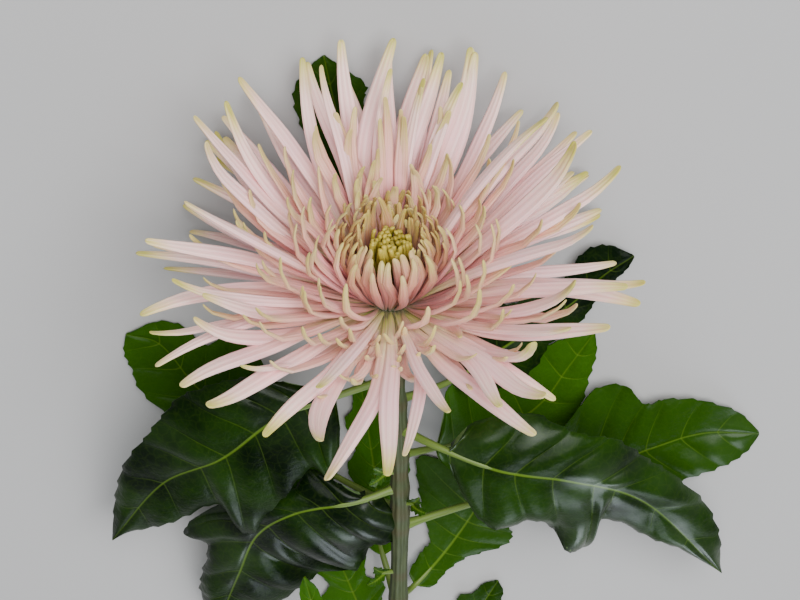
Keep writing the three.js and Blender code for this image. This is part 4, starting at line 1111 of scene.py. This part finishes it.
def involucre():
    """The cup under the bloom: a turned body, and three rings of thirteen pointed, overlapping bracts.

    A bract is a closed tube whose flattened section follows a line up the cup. Its half-width is 1.75
    times the 0.8th power of sin(0.97 pi s^0.6), so it ends in a point. Its line lies 0.2 mm outside the
    cup at its foot and 0.35 s^2 more towards its tip, and its sides bend down over the cup.
    """
    heights = np.linspace(0, 1, 9)
    cup = turned_shell(np.stack([cup_radius(heights), cup_height(heights)], -1), 26, 0)
    ring, number = np.divmod(np.arange(3 * BRACTS_IN_RING), BRACTS_IN_RING)
    azimuth = (number + 0.5 * (ring % 2)) * 2 * np.pi / BRACTS_IN_RING
    foot = np.array([0.0, 0.22, 0.45])[ring]
    share = np.linspace(0, 1, 8)
    up_cup = foot[:, None] + 0.53 * share
    radius = cup_radius(up_cup) + 0.2 + 0.35 * share**2
    side, under = np.cos(azimuth), np.sin(azimuth)
    line = bloom_point(radius * side[:, None], radius * under[:, None], cup_height(up_cup))
    outward = bloom_point(side, under, 0 * azimuth) - BLOOM_BASE
    _, across, up = frames_along(line, np.cross(outward, AXIS))
    up = up * np.sign(dot(up[:, :1], outward[:, None]))
    half = (1.75 * np.sin(np.pi * np.clip(share, 0.04, 1) ** 0.6 * 0.97) ** 0.8 + 0.06)[:, None]
    x = np.cos(turns(8)) * half
    bracts = rings_round(line, across, up, x[None], (np.sin(turns(8)) * 0.26 - 0.12 * x**2)[None])
    return [cup, tube_shell(bracts)]


make_piece("involucre_detail", involucre(), [bract_finish()], "involucre", sharp=60)

# The cut end's inner rings, from its middle outwards: share of the radius, way out along Y in millimetres,
# and the mesh's value `cut`.
CUT_RINGS = np.array([
    [0.12, -0.25, 1.0], [0.4, -0.22, 0.95], [0.55, -0.1, 0.8], [0.85, 0.05, 0.45], [0.97, 0.02, 0.15],
])


def near_any(points, places, reach):
    """The sum of the bells of some places along Y, at most 1, for each point."""
    return np.minimum(bell(points[:, 1:2], places, reach).sum(1), 1)


def stem_shell(steps=170, around=24):
    """The stem as a tube along its route: a slow taper, ten shallow ribs, and a swelling at every leaf.

    The radius is a straight taper plus 0.5 exp(-((y - root) / 3.5)^2) for each leaf. Its underside is
    pressed flat where it would pass through the table. Inner rings close the cut end.
    """
    before = bloom_point(0, 0, -INVOLUCRE_DEPTH - 8)
    end = bloom_point(0, 0, -INVOLUCRE_DEPTH - FIT_GAP)
    share = np.linspace(0, 1, steps)
    line = Curve(STEM_ROUTE + [before.tolist(), end.tolist()]).at(share)
    roots = [leaf["route"][0][1] for leaf in LEAVES.values()]
    shoots = [shoot["root"][1] for shoot in SIDE_SHOOTS.values()]
    radius = STEM_BASE_RADIUS + (STEM_RADIUS - STEM_BASE_RADIUS) * share + 0.5 * near_any(line, roots, 3.5)
    radius = radius + 0.12 * np.sin(share * 60) * np.sin(share * 23 + 1)
    angle = turns(around)
    wide = radius[:, None] * (1 + 0.025 * np.cos(STEM_RIBS * angle))
    rings = rod_rings(line, -SIDE, wide, angle)[0]
    size, way_out, cut = CUT_RINGS.T[:, :, None]
    inner = line[0] + (rings[0] - line[0]) * size[..., None] + way_out[..., None] * [0, 1, 0]
    rings = np.concatenate([inner, rings])
    rings[..., 2] = np.maximum(rings[..., 2], 0.0)
    cut = np.concatenate([cut[:, 0], np.zeros(steps)])
    knot = np.concatenate([np.zeros(len(CUT_RINGS)), 0.75 * near_any(line, roots + shoots, 3.0)])
    return tube_shell(rings[None], cut=cut[None, :, None], knot=knot[None, :, None])


make_piece("stem_detail", [stem_shell()], [stem_finish()], "stem")

leaf_skins = [
    leaf_finish("leaf_top", tint(4, 17, 3), tint(48, 90, 3), tint(90, 118, 32)),
    leaf_finish("leaf_under", tint(84, 108, 66), tint(120, 146, 84), tint(158, 176, 110), under=True),
    stalk_finish(),
]
for number, (name, leaf) in enumerate(LEAVES.items()):
    blade = blade_shell(
        leaf, 200 + number, quilt=QUILT.get(name, 0.5), curl=CURL.get(name, 0.0), shine=SHINE.get(name, 0.7),
        teeth=0.9 if number < LARGE_LEAVES else 0.6,
    )
    make_piece(name + "_detail", [blade, stalk_shell(leaf)], leaf_skins, name, sharp=62)


def shoot_shells(shoot, seed):
    """A side shoot: a short stalk with two small lobed leaves that rise from it to both sides."""
    root, way = np.array(shoot["root"], float), unit(np.array(shoot["way"], float))
    length = shoot["length"]
    level = unit(np.cross(way, UPWARD))
    share = np.linspace(0, 1, 7)
    line = root + way * (1.4 + (length * 0.65 - 1.4) * share[:, None])
    radius = (0.95 - 0.3 * share)[:, None]
    shells = [tube_shell(rod_rings(line, level, radius, turns(8)), STALK)]
    pitched = unit(way + np.cross(level, way) * 0.2)
    start = root + way * length * 0.45
    for number, turn in enumerate((-0.55, 0.5)):
        reach = unit(pitched + level * turn) * length * 0.72
        route = [start + reach * s + UPWARD * 0.8 * math.sin(math.pi * s) for s in (0, 0.3, 0.6, 1.0)]
        small = dict(
            route=[point.tolist() for point in route], stalk=0.08, rib=EVEN_RIB,
            left=even_edge(2.2), right=even_edge(2.2), lift=0, wave=0, bright=0.5,
        )
        shells.append(blade_shell(small, seed + number, steps=3, spread=4, thick=0.5, teeth=0.2, quilt=0.15))
    return shells


for number, (name, shoot) in enumerate(SIDE_SHOOTS.items()):
    make_piece(name + "_detail", shoot_shells(shoot, 300 + number * 7), leaf_skins, name, sharp=62)

# ---------------------------------------------------------------- table, light and camera


def table_top():
    """A plain pale table top, six metres square, with a faint mottle."""
    mesh = bpy.data.meshes.new("table_top")
    half = 3.0
    corners = [(-half, -half, 0), (half, -half, 0), (half, half, 0), (-half, half, 0)]
    mesh.from_pydata(corners, [], [(0, 1, 2, 3)])
    finish = Finish("table")
    mottle = finish.noise(finish.place(), 3.0, 2.0)
    colour = finish.blend(mottle, tint(170, 170, 171), tint(173, 173, 173))
    mesh.materials.append(finish.done(colour, 0.9))
    table = bpy.data.objects.new("table_top", mesh)
    bpy.context.scene.collection.objects.link(table)


def soft_light(name, place, aim, size, power, colour=(1, 1, 1)):
    """A square soft light at a place, turned to what it lights."""
    light = bpy.data.lights.new(name, "AREA")
    light.shape = "SQUARE"
    light.size = size
    light.energy = power
    light.color = colour
    lamp = bpy.data.objects.new(name, light)
    lamp.location = place
    lamp.rotation_euler = (Vector(aim) - Vector(place)).to_track_quat("-Z", "Y").to_euler()
    bpy.context.scene.collection.objects.link(lamp)


def studio():
    """Even light from all round, a broad one from above the face, and a cool one from past the cut end."""
    world = bpy.data.worlds.new("studio")
    bpy.context.scene.world = world
    world.use_nodes = True
    world.node_tree.nodes["Background"].inputs[0].default_value = (1, 1, 1, 1)
    world.node_tree.nodes["Background"].inputs[1].default_value = 0.4
    middle = (0.0, -0.22, 0.04)
    soft_light("broad_light", (-0.45, -1.0, 1.5), middle, 1.5, 57)
    soft_light("cool_light", (-0.4, 1.3, 0.6), middle, 0.8, 12, (0.82, 0.92, 1.0))


def camera():
    """A 100 mm lens over the bloom's face, looking 59 degrees below level, the cut end at the lower edge."""
    slant = math.radians(90 - 59)
    distance = 0.6633
    target = Vector((0.0, -0.268, 0.046))
    back = Vector((0.0, -math.sin(slant), math.cos(slant)))
    up = Vector((0.0, -math.cos(slant), -math.sin(slant)))
    right = up.cross(back)
    lens = bpy.data.cameras.new("camera")
    lens.lens = 100
    lens.sensor_width = 36
    holder = bpy.data.objects.new("camera", lens)
    turn = Matrix((right, up, back)).transposed().to_4x4()
    turn.translation = target + back * distance
    holder.matrix_world = turn
    bpy.context.scene.collection.objects.link(holder)
    bpy.context.scene.camera = holder


table_top()
studio()
camera()
